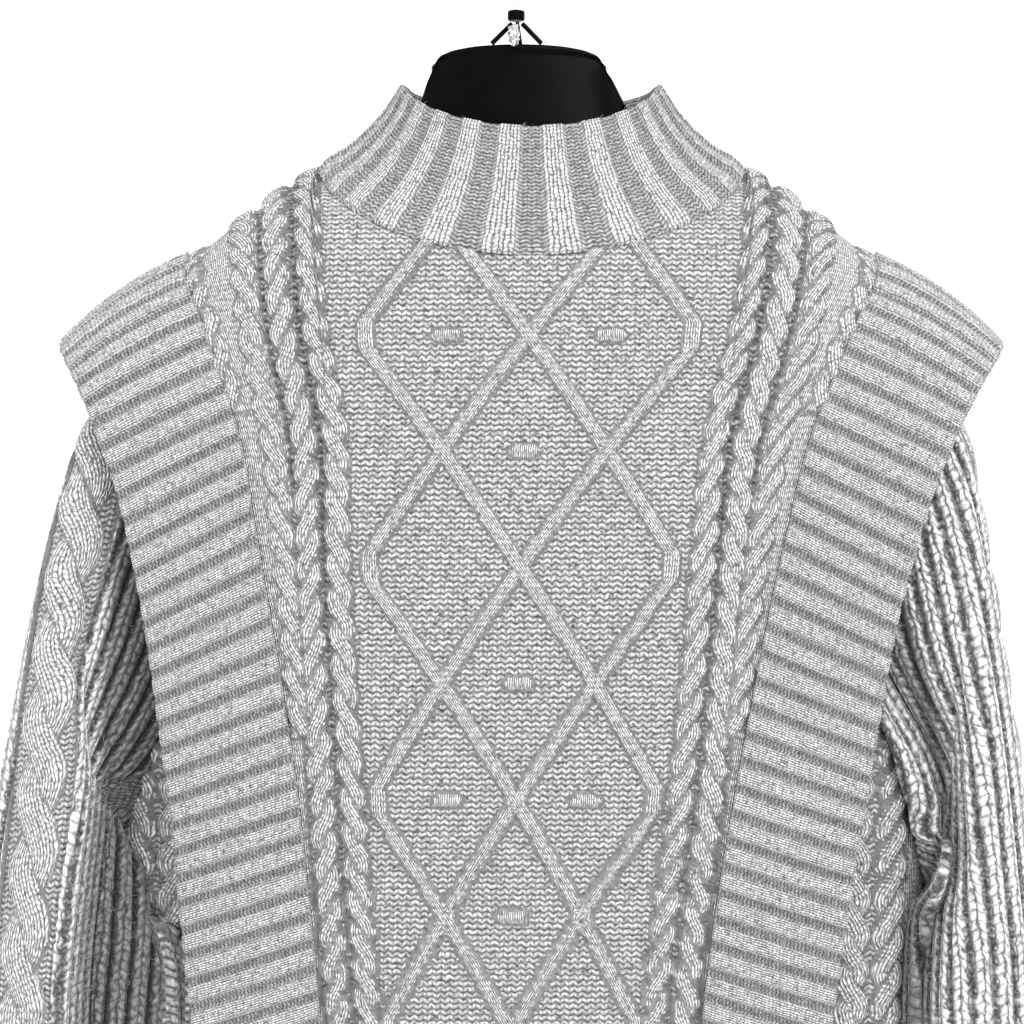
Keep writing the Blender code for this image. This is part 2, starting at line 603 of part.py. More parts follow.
# ------------------------------------------------------------ shoulder bands
def band_ends(side, face, flat_z):
    """The seam point and the outer point of a band, at flat heights of its seam."""
    flat_x = to_flat(side * LINES("band_seam", flat_z), flat_z)
    surface = lambda u, v: body_point(face, u, v)
    lift = BAND_LIFT + CREST_LIFT * np.clip((flat_z + 0.27) / 0.08, 0, 1)
    seam = surface(flat_x, flat_z) + lift[:, None] * normals(surface, flat_x, flat_z, -face)
    y = BAND_EDGE("y_front" if face < 0 else "y_back", flat_z)
    outer = np.stack([BODY("middle", flat_z) + side * BAND_EDGE("x", flat_z), y,
                      BAND_EDGE("z", flat_z)], axis=-1)
    return seam, outer


def band_track(side):
    """Stations from the front's end over the shoulder to the back's, evenly spaced."""
    top = LINES.rows[-2, 1]
    for _ in range(6):
        crest = float(shoulder_z(top) + ROLL_RISE)
        top = float(LINES("band_seam", crest))
    down = crest + (BAND_END_Z - crest) * np.linspace(0, 1, 160) ** 1.3
    front = band_ends(side, -1, down)
    back = band_ends(side, 1, down)
    seam = np.vstack([front[0][::-1], back[0][1:]])
    outer = np.vstack([front[1][::-1], back[1][1:]])
    middle = (seam + outer) / 2
    length = np.concatenate([[0], np.cumsum(np.linalg.norm(np.diff(middle, axis=0), axis=1))])
    return length, seam, outer


def band_surface(side):
    length, seam, outer = band_track(side)
    rise = np.cross(outer - seam, np.gradient(seam + outer, axis=0)) * side
    rise /= np.linalg.norm(rise, axis=1, keepdims=True)

    def up(along):
        return np.stack([np.interp(along, length, rise[:, k]) for k in range(3)], axis=-1)

    def surface(across, along):
        a = np.stack([np.interp(along, length, seam[:, k]) for k in range(3)], axis=-1)
        b = np.stack([np.interp(along, length, outer[:, k]) for k in range(3)], axis=-1)
        share = np.asarray(across)[..., None] / BAND_WIDTH
        nearness = np.clip(1 - np.abs(np.asarray(along) - length[-1] / 2) / BAND_BOW_REACH, 0, 1)
        bow = BAND_BOW * (0.35 + 0.65 * nearness[..., None])
        return a + share * (b - a) + bow * 4 * share * (1 - share) * up(along)

    return surface, length[-1]


def band(name, side, material):
    surface, total = band_surface(side)
    count = round(total / BAND_RIB_PITCH)
    pitch = total / count

    def high(across, along):
        wave = np.abs((along / pitch) % 1 - 0.5)
        return BAND_RIB_HIGH * np.clip((0.40 - wave) / 0.22, 0, 1)

    alongs = np.arange(1, count * 2) * pitch / 2
    edge = [0.0, *alongs, total]
    coarse = [0.0, *alongs[2::3], total]
    outline = [(0.0, s) for s in edge] + [(BAND_WIDTH / 2, total)]
    outline += [(BAND_WIDTH, s) for s in edge[::-1]] + [(BAND_WIDTH / 2, 0.0)]
    rough = [(0.0, s) for s in coarse] + [(BAND_WIDTH / 2, total)]
    rough += [(BAND_WIDTH, s) for s in coarse[::-1]] + [(BAND_WIDTH / 2, 0.0)]
    lines = [[(BAND_WIDTH / 2, s)] for s in alongs]
    rough_lines = [[(BAND_WIDTH / 2, s)] for s in coarse[1:-1]]
    wall(name, surface, net(outline[::-1], lines), net(rough[::-1], rough_lines), high,
         RIB_WALL, side, material)


# ------------------------------------------------------------ sleeves
def armhole_point(side, angle):
    """The panels' armhole edge, at an angle from the shoulder's tip over the front."""
    share = (1 - np.cos(angle)) / 2
    top, bottom = ARMHOLE.rows[-1, 0], ARMHOLE.rows[0, 0]
    z = top + (bottom - top) * share
    flat_x = to_flat(side * ARMHOLE("share", z) * half_width(side, z), z)
    front, back = body_point(-1, flat_x, z), body_point(1, flat_x, z)
    return np.where((np.sin(angle) > -1e-4)[..., None], front, back)


def ring_point(side, ring, angle):
    """A point of a sleeve: ring 0 is the armhole, angle 0 its outer line, over the front."""
    table = SLEEVE_LEFT if side < 0 else SLEEVE_RIGHT
    read = {name: table(name, ring) for name in RING_COLUMNS[1:]}
    toward = (1 - np.cos(angle)) / 2
    x = read["outer_x"] + toward * (read["inner_x"] - read["outer_x"])
    z = read["outer_z"] + toward * (read["inner_z"] - read["outer_z"])
    front = np.sin(angle) > 0
    swell = np.sin(angle) * (1 + np.where(front, read["fold"], 0) * np.sin(angle) ** 6)
    tuck = read["tuck"] * np.exp(-((angle - TUCK_ANGLE) / TUCK_WIDTH) ** 2)
    y = read["y"] - read["depth"] * swell + tuck
    place = np.stack([BODY("middle", z) + side * x, y, z], axis=-1)
    first = {name: table(name, 0.0) for name in RING_COLUMNS[1:]}
    x0 = first["outer_x"] + toward * (first["inner_x"] - first["outer_x"])
    z0 = first["outer_z"] + toward * (first["inner_z"] - first["outer_z"])
    start = np.stack([BODY("middle", z0) + side * x0,
                      first["y"] - first["depth"] * np.sin(angle), z0], axis=-1)
    edge = armhole_point(side, angle)
    edge[..., 0] += side * ARMHOLE_GAP[side]
    fade = np.clip(1 - ring / 3.0, 0, 1)[..., None] ** 2
    return place + fade * (edge - start)


def sleeve_surface(side):
    """The sleeve by girth from its outer line and length down that line."""
    rings = np.linspace(0, LAST_RING, 121)
    angles = np.linspace(-math.pi, math.pi, 181)
    grid = ring_point(side, *np.meshgrid(rings, angles, indexing="ij"))
    steps = np.linalg.norm(np.diff(grid, axis=1), axis=2)
    girth = np.concatenate([np.zeros((len(rings), 1)), np.cumsum(steps, axis=1)], axis=1)
    girth -= girth[:, 90:91]
    line = np.linalg.norm(np.diff(grid[:, 90], axis=0), axis=1)
    length = np.concatenate([[0], np.cumsum(line)])

    def surface(around, along):
        ring = np.interp(along, length, rings)
        row = np.clip(ring / LAST_RING * 120, 0, 119.999)
        low = row.astype(int)
        share = row - low
        angle = np.empty_like(ring)
        for i in range(len(ring)):
            turns = (1 - share[i]) * girth[low[i]] + share[i] * girth[low[i] + 1]
            angle[i] = np.interp(around[i], turns, angles)
        return ring_point(side, ring, angle)

    return surface, length[-1], girth, length


def sleeve(name, side, material):
    surface, total, girth, length = sleeve_surface(side)
    front_half = lambda along: np.interp(along, length, girth[:, -1])
    back_half = lambda along: np.interp(along, length, girth[:, 0])
    cable_at = SLEEVE_CABLE_AT[side]
    clear = SLEEVE_CABLE_HALF + 0.004

    def high(around, along):
        wave = np.abs((around / SLEEVE_RIB_PITCH) % 1 - 0.5) * 2
        rib = SLEEVE_RIB_HIGH * wave
        off = (around - cable_at) / SLEEVE_CABLE_HALF
        phase = along / SLEEVE_CABLE_PITCH + 0.30 * side * off
        lobe = SLEEVE_CABLE_HIGH * (1 - np.clip(np.abs(off), 0, 1) ** 4)
        lobe = lobe * (0.35 + 0.65 * np.abs(np.sin(math.pi * phase)))
        fade = np.clip(along / 0.03, 0, 1)
        return np.where(np.abs(around - cable_at) < clear, lobe, rib) * fade

    stations = np.linspace(0, total, 14)
    edges = [back_half(stations), front_half(stations)]
    steps = np.arange(-80, 81) * SLEEVE_RIB_PITCH / 2
    steps = steps[np.abs(steps - cable_at) > clear]
    lines = []
    for around in steps:
        lines.append([(around, s) for s in stations[1:-1]])
    across = np.array([-1, -0.5, 0, 0.5, 1]) * SLEEVE_CABLE_HALF
    rows = []
    for half_turn in range(1, int(total / SLEEVE_CABLE_PITCH * 2)):
        along = (half_turn / 2 - 0.30 * side * across / SLEEVE_CABLE_HALF) * SLEEVE_CABLE_PITCH
        rows.append([(cable_at + a, s) for a, s in zip(across, along)])
    lines += rows + [[row[0] for row in rows], [row[-1] for row in rows]]
    outline = tube_outline(edges, stations, steps)
    rough_steps = steps[::4]
    rough = tube_outline(edges, stations, rough_steps)
    rough_lines = [[(around, s) for s in stations[1:-1]] for around in rough_steps]
    wall(name, surface, net(outline, lines, 0.003), net(rough, rough_lines, 0.004),
         high, KNIT_WALL, side, material)


def tube_outline(edges, stations, steps):
    """The sleeve laid flat and cut open at its inner line, anticlockwise."""
    back, front = edges
    top = [(a, 0.0) for a in steps if back[0] + 0.004 < a < front[0] - 0.004]
    end = [(a, stations[-1]) for a in steps if back[-1] + 0.004 < a < front[-1] - 0.004]
    outline = [(back[0], 0.0)] + top
    outline += list(zip(front, stations)) + end[::-1]
    outline += list(zip(back[::-1], stations[::-1]))[:-1]
    return outline


# ------------------------------------------------------------ the form and its hook
def form_inset(flat_z):
    """How far the form lies inside the knit: seated at the shoulders, clear below."""
    return KNIT_WALL + FORM_CLEAR + 0.0035 * np.clip((-0.19 - flat_z) / 0.06, 0, 1)


def form_point(flat_x, flat_z):
    surface = lambda u, v: body_point(-1, u, v)
    inset = form_inset(flat_z)[..., None]
    return surface(flat_x, flat_z) - inset * normals(surface, flat_x, flat_z, 1)


def form_torso(material):
    """The half shell: over the shoulders, the chest and down to the hips, open behind."""
    beta = np.linspace(-math.pi / 2, math.pi / 2, 15)
    x = FORM_NECK_HALF * np.sin(beta)
    z = shoulder_z(x) - 0.0004 - FORM_NECK_DROP * np.cos(beta) ** 1.15
    neck_z = flat_height(x, z)
    neck = np.stack([to_flat(x, neck_z), neck_z], axis=-1)
    arm_z = np.array([-0.160, -0.200, -0.245, -0.300, -0.360, -0.420, -0.470, -0.510, -0.545])
    arm = np.array([0.176, 0.172, 0.168, 0.166, 0.166, 0.170, 0.178, 0.190, 0.203])
    right = [(float(to_flat(a, z)), z) for a, z in zip(arm, arm_z)]
    right[0] = snap_to_shoulder(right[0])
    side = [(float(to_flat(0.205, z)), z) for z in (-0.580, FORM_BOTTOM_Z)]
    down = right + side
    left = [(-u, v) for u, v in down]
    left[0] = snap_to_shoulder(left[0])
    hem = [(u, FORM_BOTTOM_Z) for u in np.linspace(down[-1][0], left[-1][0], 13)[1:-1]]
    neck = [snap_to_shoulder(neck[0]), *map(tuple, neck[1:-1]), snap_to_shoulder(neck[-1])]
    ridge = [snap_to_shoulder(p) for p in shoulder_edge(neck[-1], right[0], 4)]
    outline = neck + ridge + down + hem + left[::-1] + [(-u, v) for u, v in ridge[::-1]]
    outline = [(float(u), float(v)) for u, v in outline][::-1]
    mesh = net(outline, filler(outline, 0.030, 0.034, 0.012))
    flat = lambda u, v: np.zeros_like(u)
    wall("form_torso", form_point, mesh, mesh, flat, FORM_WALL, 1, material)


def snap_to_shoulder(place):
    """The place just in front of the shoulder line with the same flat_x."""
    flat_x, flat_z = place
    for _ in range(6):
        across = body_point(-1, flat_x, flat_z)[..., 0] - BODY("middle", flat_z)
        flat_z = float(shoulder_z(across) + ROLL_RISE)
    return float(flat_x), flat_z - FORM_EDGE


def form_neck(material):
    """The neck: a shallow half cone whose flat top plate has a raised rim."""
    rows = np.array([0.0, 0.06, 0.30, 0.60, 1.0])
    columns = np.array([-1, -0.92, -0.70, -0.45, -0.20, 0, 0.20, 0.45, 0.70, 0.92, 1.0])

    def surface(u, v):
        u, v = np.clip(u, -1, 1), np.clip(v, 0, 1)
        beta = u * math.pi / 2
        top_x = PLATE_MIDDLE + PLATE_HALF * u
        top_z = PLATE("top_z", np.abs(PLATE_HALF * u))
        lift = 0.0012 + 0.0018 * np.sin(beta) ** 2
        x1 = FORM_NECK_HALF * np.sin(beta)
        z1 = flat_height(x1, shoulder_z(x1) - 0.0004 - FORM_NECK_DROP * np.abs(np.cos(beta)) ** 1.15)
        root = form_point(to_flat(x1, z1), z1)
        low = np.stack([root[..., 0], root[..., 1], root[..., 2] + lift], axis=-1)
        top = np.stack([top_x, -0.0200 - 0.004 * np.cos(beta), top_z], axis=-1)
        share = v[..., None] ** np.array([1.25, 1.0, 1.0])
        return top + share * (low - top)

    def high(u, v):
        rim = (np.abs(u) > 0.95) | (v < 0.03)
        return np.where(rim & (v < 0.45), 0.0020, 0.0)

    outline = [(u, 0.0) for u in columns] + [(1.0, v) for v in rows[1:]]
    outline += [(u, 1.0) for u in columns[-2::-1]] + [(-1.0, v) for v in rows[-2:0:-1]]
    lines = [[(u, v) for u in columns[1:-1]] for v in rows[1:-1]]
    mesh = net(outline, lines, 0.001)
    wall("form_neck", surface, mesh, mesh, high, FORM_WALL, -1, material)


def tube(name, points, radius, material):
    """A round wire along a list of points, with closed ends."""
    curve = bpy.data.curves.new(name, "CURVE")
    curve.dimensions = "3D"
    curve.bevel_depth = radius
    curve.bevel_resolution = 2
    curve.use_fill_caps = True
    curve.resolution_u = 1
    spline = curve.splines.new("POLY")
    spline.points.add(len(points) - 1)
    for place, point in zip(spline.points, points):
        place.co = (*point, 1.0)
    curve.materials.append(material)
    piece = bpy.data.objects.new(name, curve)
    bpy.data.collections["sweater_dress"].objects.link(piece)
    return piece


def hanger_parts(plastic, steel):
    """Knob, three struts down to the plate, and the wire hook."""
    y = HANGER_Y
    bpy.ops.mesh.primitive_cylinder_add(vertices=20, radius=KNOB_HALF, depth=KNOB_TALL,
                                        location=(-0.0010, y, KNOB_Z))
    knob = bpy.context.object
    knob.name = knob.data.name = "form_knob"
    knob.data.materials.append(plastic)
    for held in list(knob.users_collection):
        held.objects.unlink(knob)
    bpy.data.collections["sweater_dress"].objects.link(knob)
    bevel = knob.modifiers.new("edge", "BEVEL")
    bevel.width, bevel.segments = 0.0010, 2
    under = KNOB_Z - KNOB_TALL / 2 - SEAM_GAP
    for name, radius, top_x, foot_x in (("left", STRUT_HALF, -0.0034, -0.0150),
                                        ("middle", STRUT_HALF * 0.8, -0.0004, 0.0015),
                                        ("right", STRUT_HALF, 0.0024, 0.0135)):
        plate_z = float(PLATE("top_z", abs(foot_x))) + SEAM_GAP
        lean = math.atan2(abs(foot_x - top_x), under - plate_z)
        corner = radius * math.sin(lean) + SEAM_GAP
        tube("form_strut_" + name, [(top_x, y, under - corner), (foot_x, y, plate_z + corner)],
             radius, plastic)
    centre = HOOK_WIRE + HOOK_INSIDE
    turns = np.radians(np.arange(-90, 205, 9.0))
    loop = [(centre * math.cos(a), y, -HOOK_INSIDE + centre * math.sin(a)) for a in turns]
    stem = [(-0.0022, y, KNOB_Z + KNOB_TALL / 2 + SEAM_GAP), (-0.0022, y, -0.0500),
            (-0.0014, y, -0.0455)]
    tube("hook", stem + loop[1:], HOOK_WIRE, steel)


# ------------------------------------------------------------ materials and build
def finish(name, colour, roughness, metallic=0.0):
    material = bpy.data.materials.new(name)
    material.use_nodes = True
    shader = material.node_tree.nodes["Principled BSDF"]
    shader.inputs["Base Color"].default_value = (*colour, 1.0)
    shader.inputs["Roughness"].default_value = roughness
    shader.inputs["Metallic"].default_value = metallic
    return material


def main():
    for obj in list(bpy.data.objects):
        bpy.data.objects.remove(obj, do_unlink=True)
    bpy.context.scene.collection.children.link(bpy.data.collections.new("sweater_dress"))
    knit = finish("heather_grey_knit", (0.52, 0.52, 0.52), 0.9)
    plastic = finish("black_plastic", (0.012, 0.013, 0.014), 0.35)
    steel = finish("plated_steel", (0.60, 0.60, 0.60), 0.25, 1.0)
    plain = lambda u, v: np.zeros_like(u)
    panel("front", -1, front_lines(), front_high, knit)
    panel("back", 1, [], plain, knit)
    collar(knit)
    for side, word in ((-1, "left"), (1, "right")):
        band("shoulder_band_" + word, side, knit)
        sleeve("sleeve_" + word, side, knit)
    form_torso(plastic)
    form_neck(plastic)
    hanger_parts(plastic, steel)
    for piece in bpy.data.collections["sweater_dress"].objects:
        piece.location.y -= HANGER_Y      # the hook's plane becomes y = 0


main()
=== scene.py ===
"""Cable-knit sweater dress on a black hanging half-torso form, as a Blender scene.

Each knitted panel is a thin closed wall. Its outside carries the ropes, cords, bobbles and
ribs, and its UV map counts stitches: one unit across is a wale, one unit down is a course.
Metres, +Z up, the front faces -Y, and the origin is the top of the hook's inside.
"""

import json
import math

import bpy
import numpy as np
from bpy.props import FloatProperty, FloatVectorProperty, IntProperty, PointerProperty
from bpy.types import Operator, Panel, PropertyGroup
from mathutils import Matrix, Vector

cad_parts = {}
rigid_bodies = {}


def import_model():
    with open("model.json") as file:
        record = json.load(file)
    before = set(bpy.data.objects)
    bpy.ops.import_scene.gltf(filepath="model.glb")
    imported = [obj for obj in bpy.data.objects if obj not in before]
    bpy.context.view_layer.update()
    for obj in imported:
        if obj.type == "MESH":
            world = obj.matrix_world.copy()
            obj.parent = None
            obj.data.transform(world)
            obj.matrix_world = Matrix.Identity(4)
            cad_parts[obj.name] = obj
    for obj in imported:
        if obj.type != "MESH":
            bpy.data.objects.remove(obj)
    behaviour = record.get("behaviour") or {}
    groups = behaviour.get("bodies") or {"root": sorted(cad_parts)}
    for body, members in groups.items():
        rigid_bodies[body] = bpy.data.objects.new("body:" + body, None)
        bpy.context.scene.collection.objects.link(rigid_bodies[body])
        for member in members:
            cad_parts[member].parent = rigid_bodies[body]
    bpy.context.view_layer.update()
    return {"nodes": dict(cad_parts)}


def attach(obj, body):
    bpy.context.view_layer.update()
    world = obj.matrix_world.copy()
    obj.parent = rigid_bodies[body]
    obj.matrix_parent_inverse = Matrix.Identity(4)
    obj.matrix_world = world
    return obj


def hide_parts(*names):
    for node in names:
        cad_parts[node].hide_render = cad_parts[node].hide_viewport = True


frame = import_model()

bl_info = {
    "name": "Cable-knit sweater dress",
    "version": (1, 0, 0),
    "blender": (4, 5, 0),
    "location": "3D View > Sidebar > Sweater dress",
    "description": "Knitted pieces, torso form and studio for a cable-knit sweater dress",
    "category": "Object",
}

# ------------------------------------------------------------ sizes of the cut pieces
SEAM_GAP = 0.0003
KNIT_WALL, RIB_WALL = 0.0026, 0.0028
FORM_WALL, FORM_CLEAR = 0.0024, 0.0028
HEM_Z = -1.020
NECK_HALF, NECK_TOP_Z = 0.122, -0.148
NECK_DROP_FRONT, NECK_DROP_BACK = 0.054, 0.024
NECK_CURVE = 1.15          # how fast the neck's edge falls away from the shoulder
SHOULDER_ROLL = 0.075      # height over which the shoulder rounds into the front
ROLL_RISE = (math.pi / 2 - 1) * SHOULDER_ROLL
BROAD, SQUARE = 0.10, 0.26  # how much boxier than an ellipse a section is
SPREAD = 0.17              # flat width of a panel for each radian of its section
HANGER_Y = -0.0236         # the tables' y at the hook's plane, which is y = 0 here
CABLE_HALF, CABLE_HIGH, CABLE_PITCH = 0.0080, 0.0044, 0.0185
CORD_HALF, CORD_HIGH = 0.0042, 0.0034
LATTICE_TOP_Z, LATTICE_STEP = -0.247, 0.1285
BOBBLE_HALF_WIDE, BOBBLE_HALF_TALL, BOBBLE_HIGH = 0.0092, 0.0040, 0.0034
SIDE_CABLES = (0.190, 0.2115)          # the pair down the body's side, from the middle
SIDE_CABLE_HALF, SIDE_CABLE_PITCH = 0.0104, 0.0205
LADDER_PITCH, LADDER_HALF, LADDER_EDGE = 0.0061, 0.00234, 0.0013
PATTERN_END = -0.985                   # where cables and lattice stop above the hem rib
STRIP_TOP = -0.150                     # where the plain strip beside the band begins
SEAM_CABLE_END = -0.290                # where the cable along the band's seam stops
PLAIN_HIGH, SIDE_WALES_HIGH = 0.0009, 0.0008
SIDE_CABLE_TOP, SIDE_WALES_TOP, LADDER_TOP = -0.400, -0.500, -0.130
UNDER_BAND_END, UNDER_BAND_HIGH = -0.42, 0.0004  # the knitting lies flat under the bands
# The ropes beside the lattice: their line, lean, top and bottom.
ROPES = (("cable_b", -1, -0.128, -0.470), ("cable_c", 1, -0.110, PATTERN_END),
         ("cable_d", -1, -0.105, PATTERN_END))
# The ladders: the lines of the two ropes they lie between, and their bottom.
LADDERS = (("cable_d", "cable_c", PATTERN_END), ("cable_c", "cable_b", -0.330))
COLLAR_RIBS, COLLAR_RIB_HIGH = 26, 0.0027
COLLAR_MIDDLE, COLLAR_TALL = 0.0076, 0.078
COLLAR_LIFT, COLLAR_SIDE_LIFT = 0.0011, 0.0020
BAND_RIB_PITCH, BAND_RIB_HIGH, BAND_RIB_WALES = 0.0146, 0.0028, 5.5
BAND_WIDTH, BAND_END_Z = 0.080, -0.820
BAND_LIFT = RIB_WALL + 0.0004
BAND_BOW, BAND_BOW_REACH, CREST_LIFT = 0.0050, 0.12, 0.0006
HEM_RIB_PITCH, HEM_RIB_HIGH = 0.0120, 0.0020
HOLE_DEPTH, SLEEVE_HOLE_DEPTH = 0.0012, 0.0010
NORMAL_STEP = 2e-4                     # flat distance over which a normal is measured
COARSE_FROM = 0.86                     # share of a panel's half beyond which it needs fewer points
FINE_DOWN_TO, LOWER_ROW = -0.660, 0.0050  # where a panel's fine rows end, and the rows below
LEVEL_CUTS = 300                       # level cuts along which a sleeve is measured
COLLAR_RIB_COLUMNS, COLLAR_ROWS = 18, 37
INSIDE_SKIP = 6                        # a wall's inside keeps every sixth row and column
SLEEVE_RIB_PITCH, SLEEVE_RIB_HIGH = 0.0118, 0.0030
SLEEVE_KNIT_SHARE = 0.70               # how much of a rib its knit wale fills
SLEEVE_GIRTH = 0.62                    # over which a sleeve's columns are spread
SLEEVE_PANEL_EDGE = 0.004              # purl ground beside the sleeve's cable
SLEEVE_LADDER_PITCH = 0.0066           # from hole to hole along that ground's edge
SLEEVE_CABLE_HALF, SLEEVE_CABLE_HIGH, SLEEVE_CABLE_PITCH = 0.0150, 0.0055, 0.041
SLEEVE_CABLE_RIGHT = 0.006             # the right cable's middle, round from the outer line
ARMHOLE_GAP = {-1: 0.0017, 1: 0.0010}
TUCK_ANGLE, TUCK_WIDTH = math.radians(112), math.radians(16)
WALE, COURSE = 0.0024, 0.0033          # a knit stitch on cables, cords and ribs
PURL_WALE, PURL_COURSE = 0.0049, 0.0032  # a purl stitch of the ground
SLEEVE_COURSE = 0.0055
FINE_COURSE = 0.0023                   # the tighter ribbing of collar and bands
FORM_NECK_HALF, FORM_NECK_DROP = 0.076, 0.056
PLATE_HALF, PLATE_MIDDLE = 0.0495, 0.0005
FIBRE_LENGTH, FIBRE_HALF = 0.0048, 0.00006
FOIL_AT, FOIL_TALL, FOIL_RADIUS, FOIL_CRUMPLE = (-0.0022, -0.0040, -0.0738), 0.0115, 0.0030, 0.0005
# The flat size of each cut. The areas are the panels' own, since they aren't oblongs.
SLEEVE_CUTS = ((-1, "left", (0.44, 0.61), 0.184), (1, "right", (0.44, 0.60), 0.158))
CAMERA_AT = (-0.0034, -1.5564, -0.3450)
CAMERA_ANGLE = math.radians(21.27)
FLOOR_HALF, FLOOR_Z = 3.0, -1.08
FILL_SHARE = 0.35                      # of the key light's power


def unit(value):
    """The value, held between 0 and 1."""
    return np.clip(value, 0, 1)


class Table:
    """Rows of named columns. A column is read smoothly at any value of the first."""

    def __init__(self, names, *rows):
        self.names = names
        self.rows = np.array(sorted(rows), dtype=float)

    def __call__(self, name, at):
        key, value = self.rows[:, 0], self.rows[:, self.names.index(name)]
        slope = np.gradient(value, key)
        at = np.clip(at, key[0], key[-1])
        i = np.clip(np.searchsorted(key, at) - 1, 0, len(key) - 2)
        step = key[i + 1] - key[i]
        t = (at - key[i]) / step
        return ((1 + 2 * t) * (1 - t) ** 2 * value[i] + t * (1 - t) ** 2 * step * slope[i]
                + t * t * (3 - 2 * t) * value[i + 1] - t * t * (1 - t) * step * slope[i + 1])


# Sections of the body: its middle, the half-widths and the depths at a height.
BODY = Table(
    ("z", "middle", "left", "right", "front", "back"),
    (-0.100, 0.0080, 0.214, 0.214, 0.054, 0.044),
    (-0.200, 0.0075, 0.222, 0.222, 0.062, 0.046),
    (-0.260, 0.0055, 0.224, 0.224, 0.070, 0.048),
    (-0.370, 0.0015, 0.225, 0.228, 0.079, 0.050),
    (-0.500, -0.0010, 0.227, 0.233, 0.079, 0.047),
    (-0.553, -0.0025, 0.228, 0.2355, 0.076, 0.045),
    (-0.640, -0.0040, 0.229, 0.231, 0.070, 0.042),
    (-0.800, -0.0050, 0.229, 0.229, 0.062, 0.040),
    (-1.020, -0.0060, 0.234, 0.234, 0.056, 0.040),
)
# The shoulder line, from the neck outwards.
SHOULDER = Table(
    ("x", "z"),
    (0.000, -0.1455), (0.080, -0.1455), (0.122, -0.1480), (0.142, -0.1590),
    (0.172, -0.1810), (0.205, -0.2070), (0.235, -0.2290),
)
# The armhole's edge, as a share of the half-width there.
ARMHOLE = Table(
    ("z", "share"),
    (-0.163, 0.925), (-0.215, 0.900), (-0.270, 0.862), (-0.340, 0.845), (-0.400, 0.845),
    (-0.445, 0.862), (-0.485, 0.905), (-0.521, 0.955), (-0.541, 0.985), (-0.553, 1.000),
)
# Lines down the front, each as a distance from the middle.
LINES = Table(
    ("z", "band_seam", "cable_b", "cable_c", "cable_d", "lattice"),
    (-0.110, 0.1965, 0.1680, 0.1480, 0.1290, 0.0950),
    (-0.165, 0.1955, 0.1660, 0.1460, 0.1270, 0.0950),
    (-0.206, 0.1945, 0.1620, 0.1430, 0.1240, 0.0925),
    (-0.244, 0.1805, 0.1556, 0.1370, 0.1185, 0.0908),
    (-0.308, 0.1570, 0.1395, 0.1220, 0.1046, 0.0864),
    (-0.352, 0.1475, 0.1330, 0.1185, 0.1018, 0.0842),
    (-0.404, 0.1370, 0.1260, 0.1150, 0.0983, 0.0814),
    (-0.503, 0.1200, 0.1160, 0.1070, 0.0902, 0.0759),
    (-0.617, 0.1065, 0.1050, 0.0965, 0.0798, 0.0680),
    (-0.800, 0.0990, 0.0980, 0.0900, 0.0733, 0.0620),
    (-1.020, 0.0980, 0.0970, 0.0890, 0.0723, 0.0610),
)
# The shoulder band's outer edge for places along its seam, by the seam's flat height.
BAND_EDGE = Table(
    ("seam_z", "x", "y_front", "y_back", "z"),
    (-0.1580, 0.2710, 0.000, 0.000, -0.2470),
    (-0.2110, 0.2640, -0.034, 0.027, -0.2590),
    (-0.2360, 0.2535, -0.053, 0.041, -0.2740),
    (-0.2620, 0.2415, -0.066, 0.051, -0.2960),
    (-0.2870, 0.2305, -0.074, 0.056, -0.3200),
    (-0.3450, 0.2135, -0.080, 0.060, -0.3780),
    (-0.4500, 0.1960, -0.080, 0.060, -0.4760),
    (-0.5100, 0.1880, -0.079, 0.058, -0.5330),
    (-0.5600, 0.1820, -0.078, 0.056, -0.5820),
    (-0.6200, 0.1745, -0.076, 0.054, -0.6410),
    (-0.6800, 0.1660, -0.074, 0.052, -0.6980),
    (-0.7400, 0.1440, -0.071, 0.049, -0.7540),
    (-0.7900, 0.1180, -0.066, 0.046, -0.7980),
    (-0.8200, 0.1060, -0.063, 0.044, -0.8240),
)
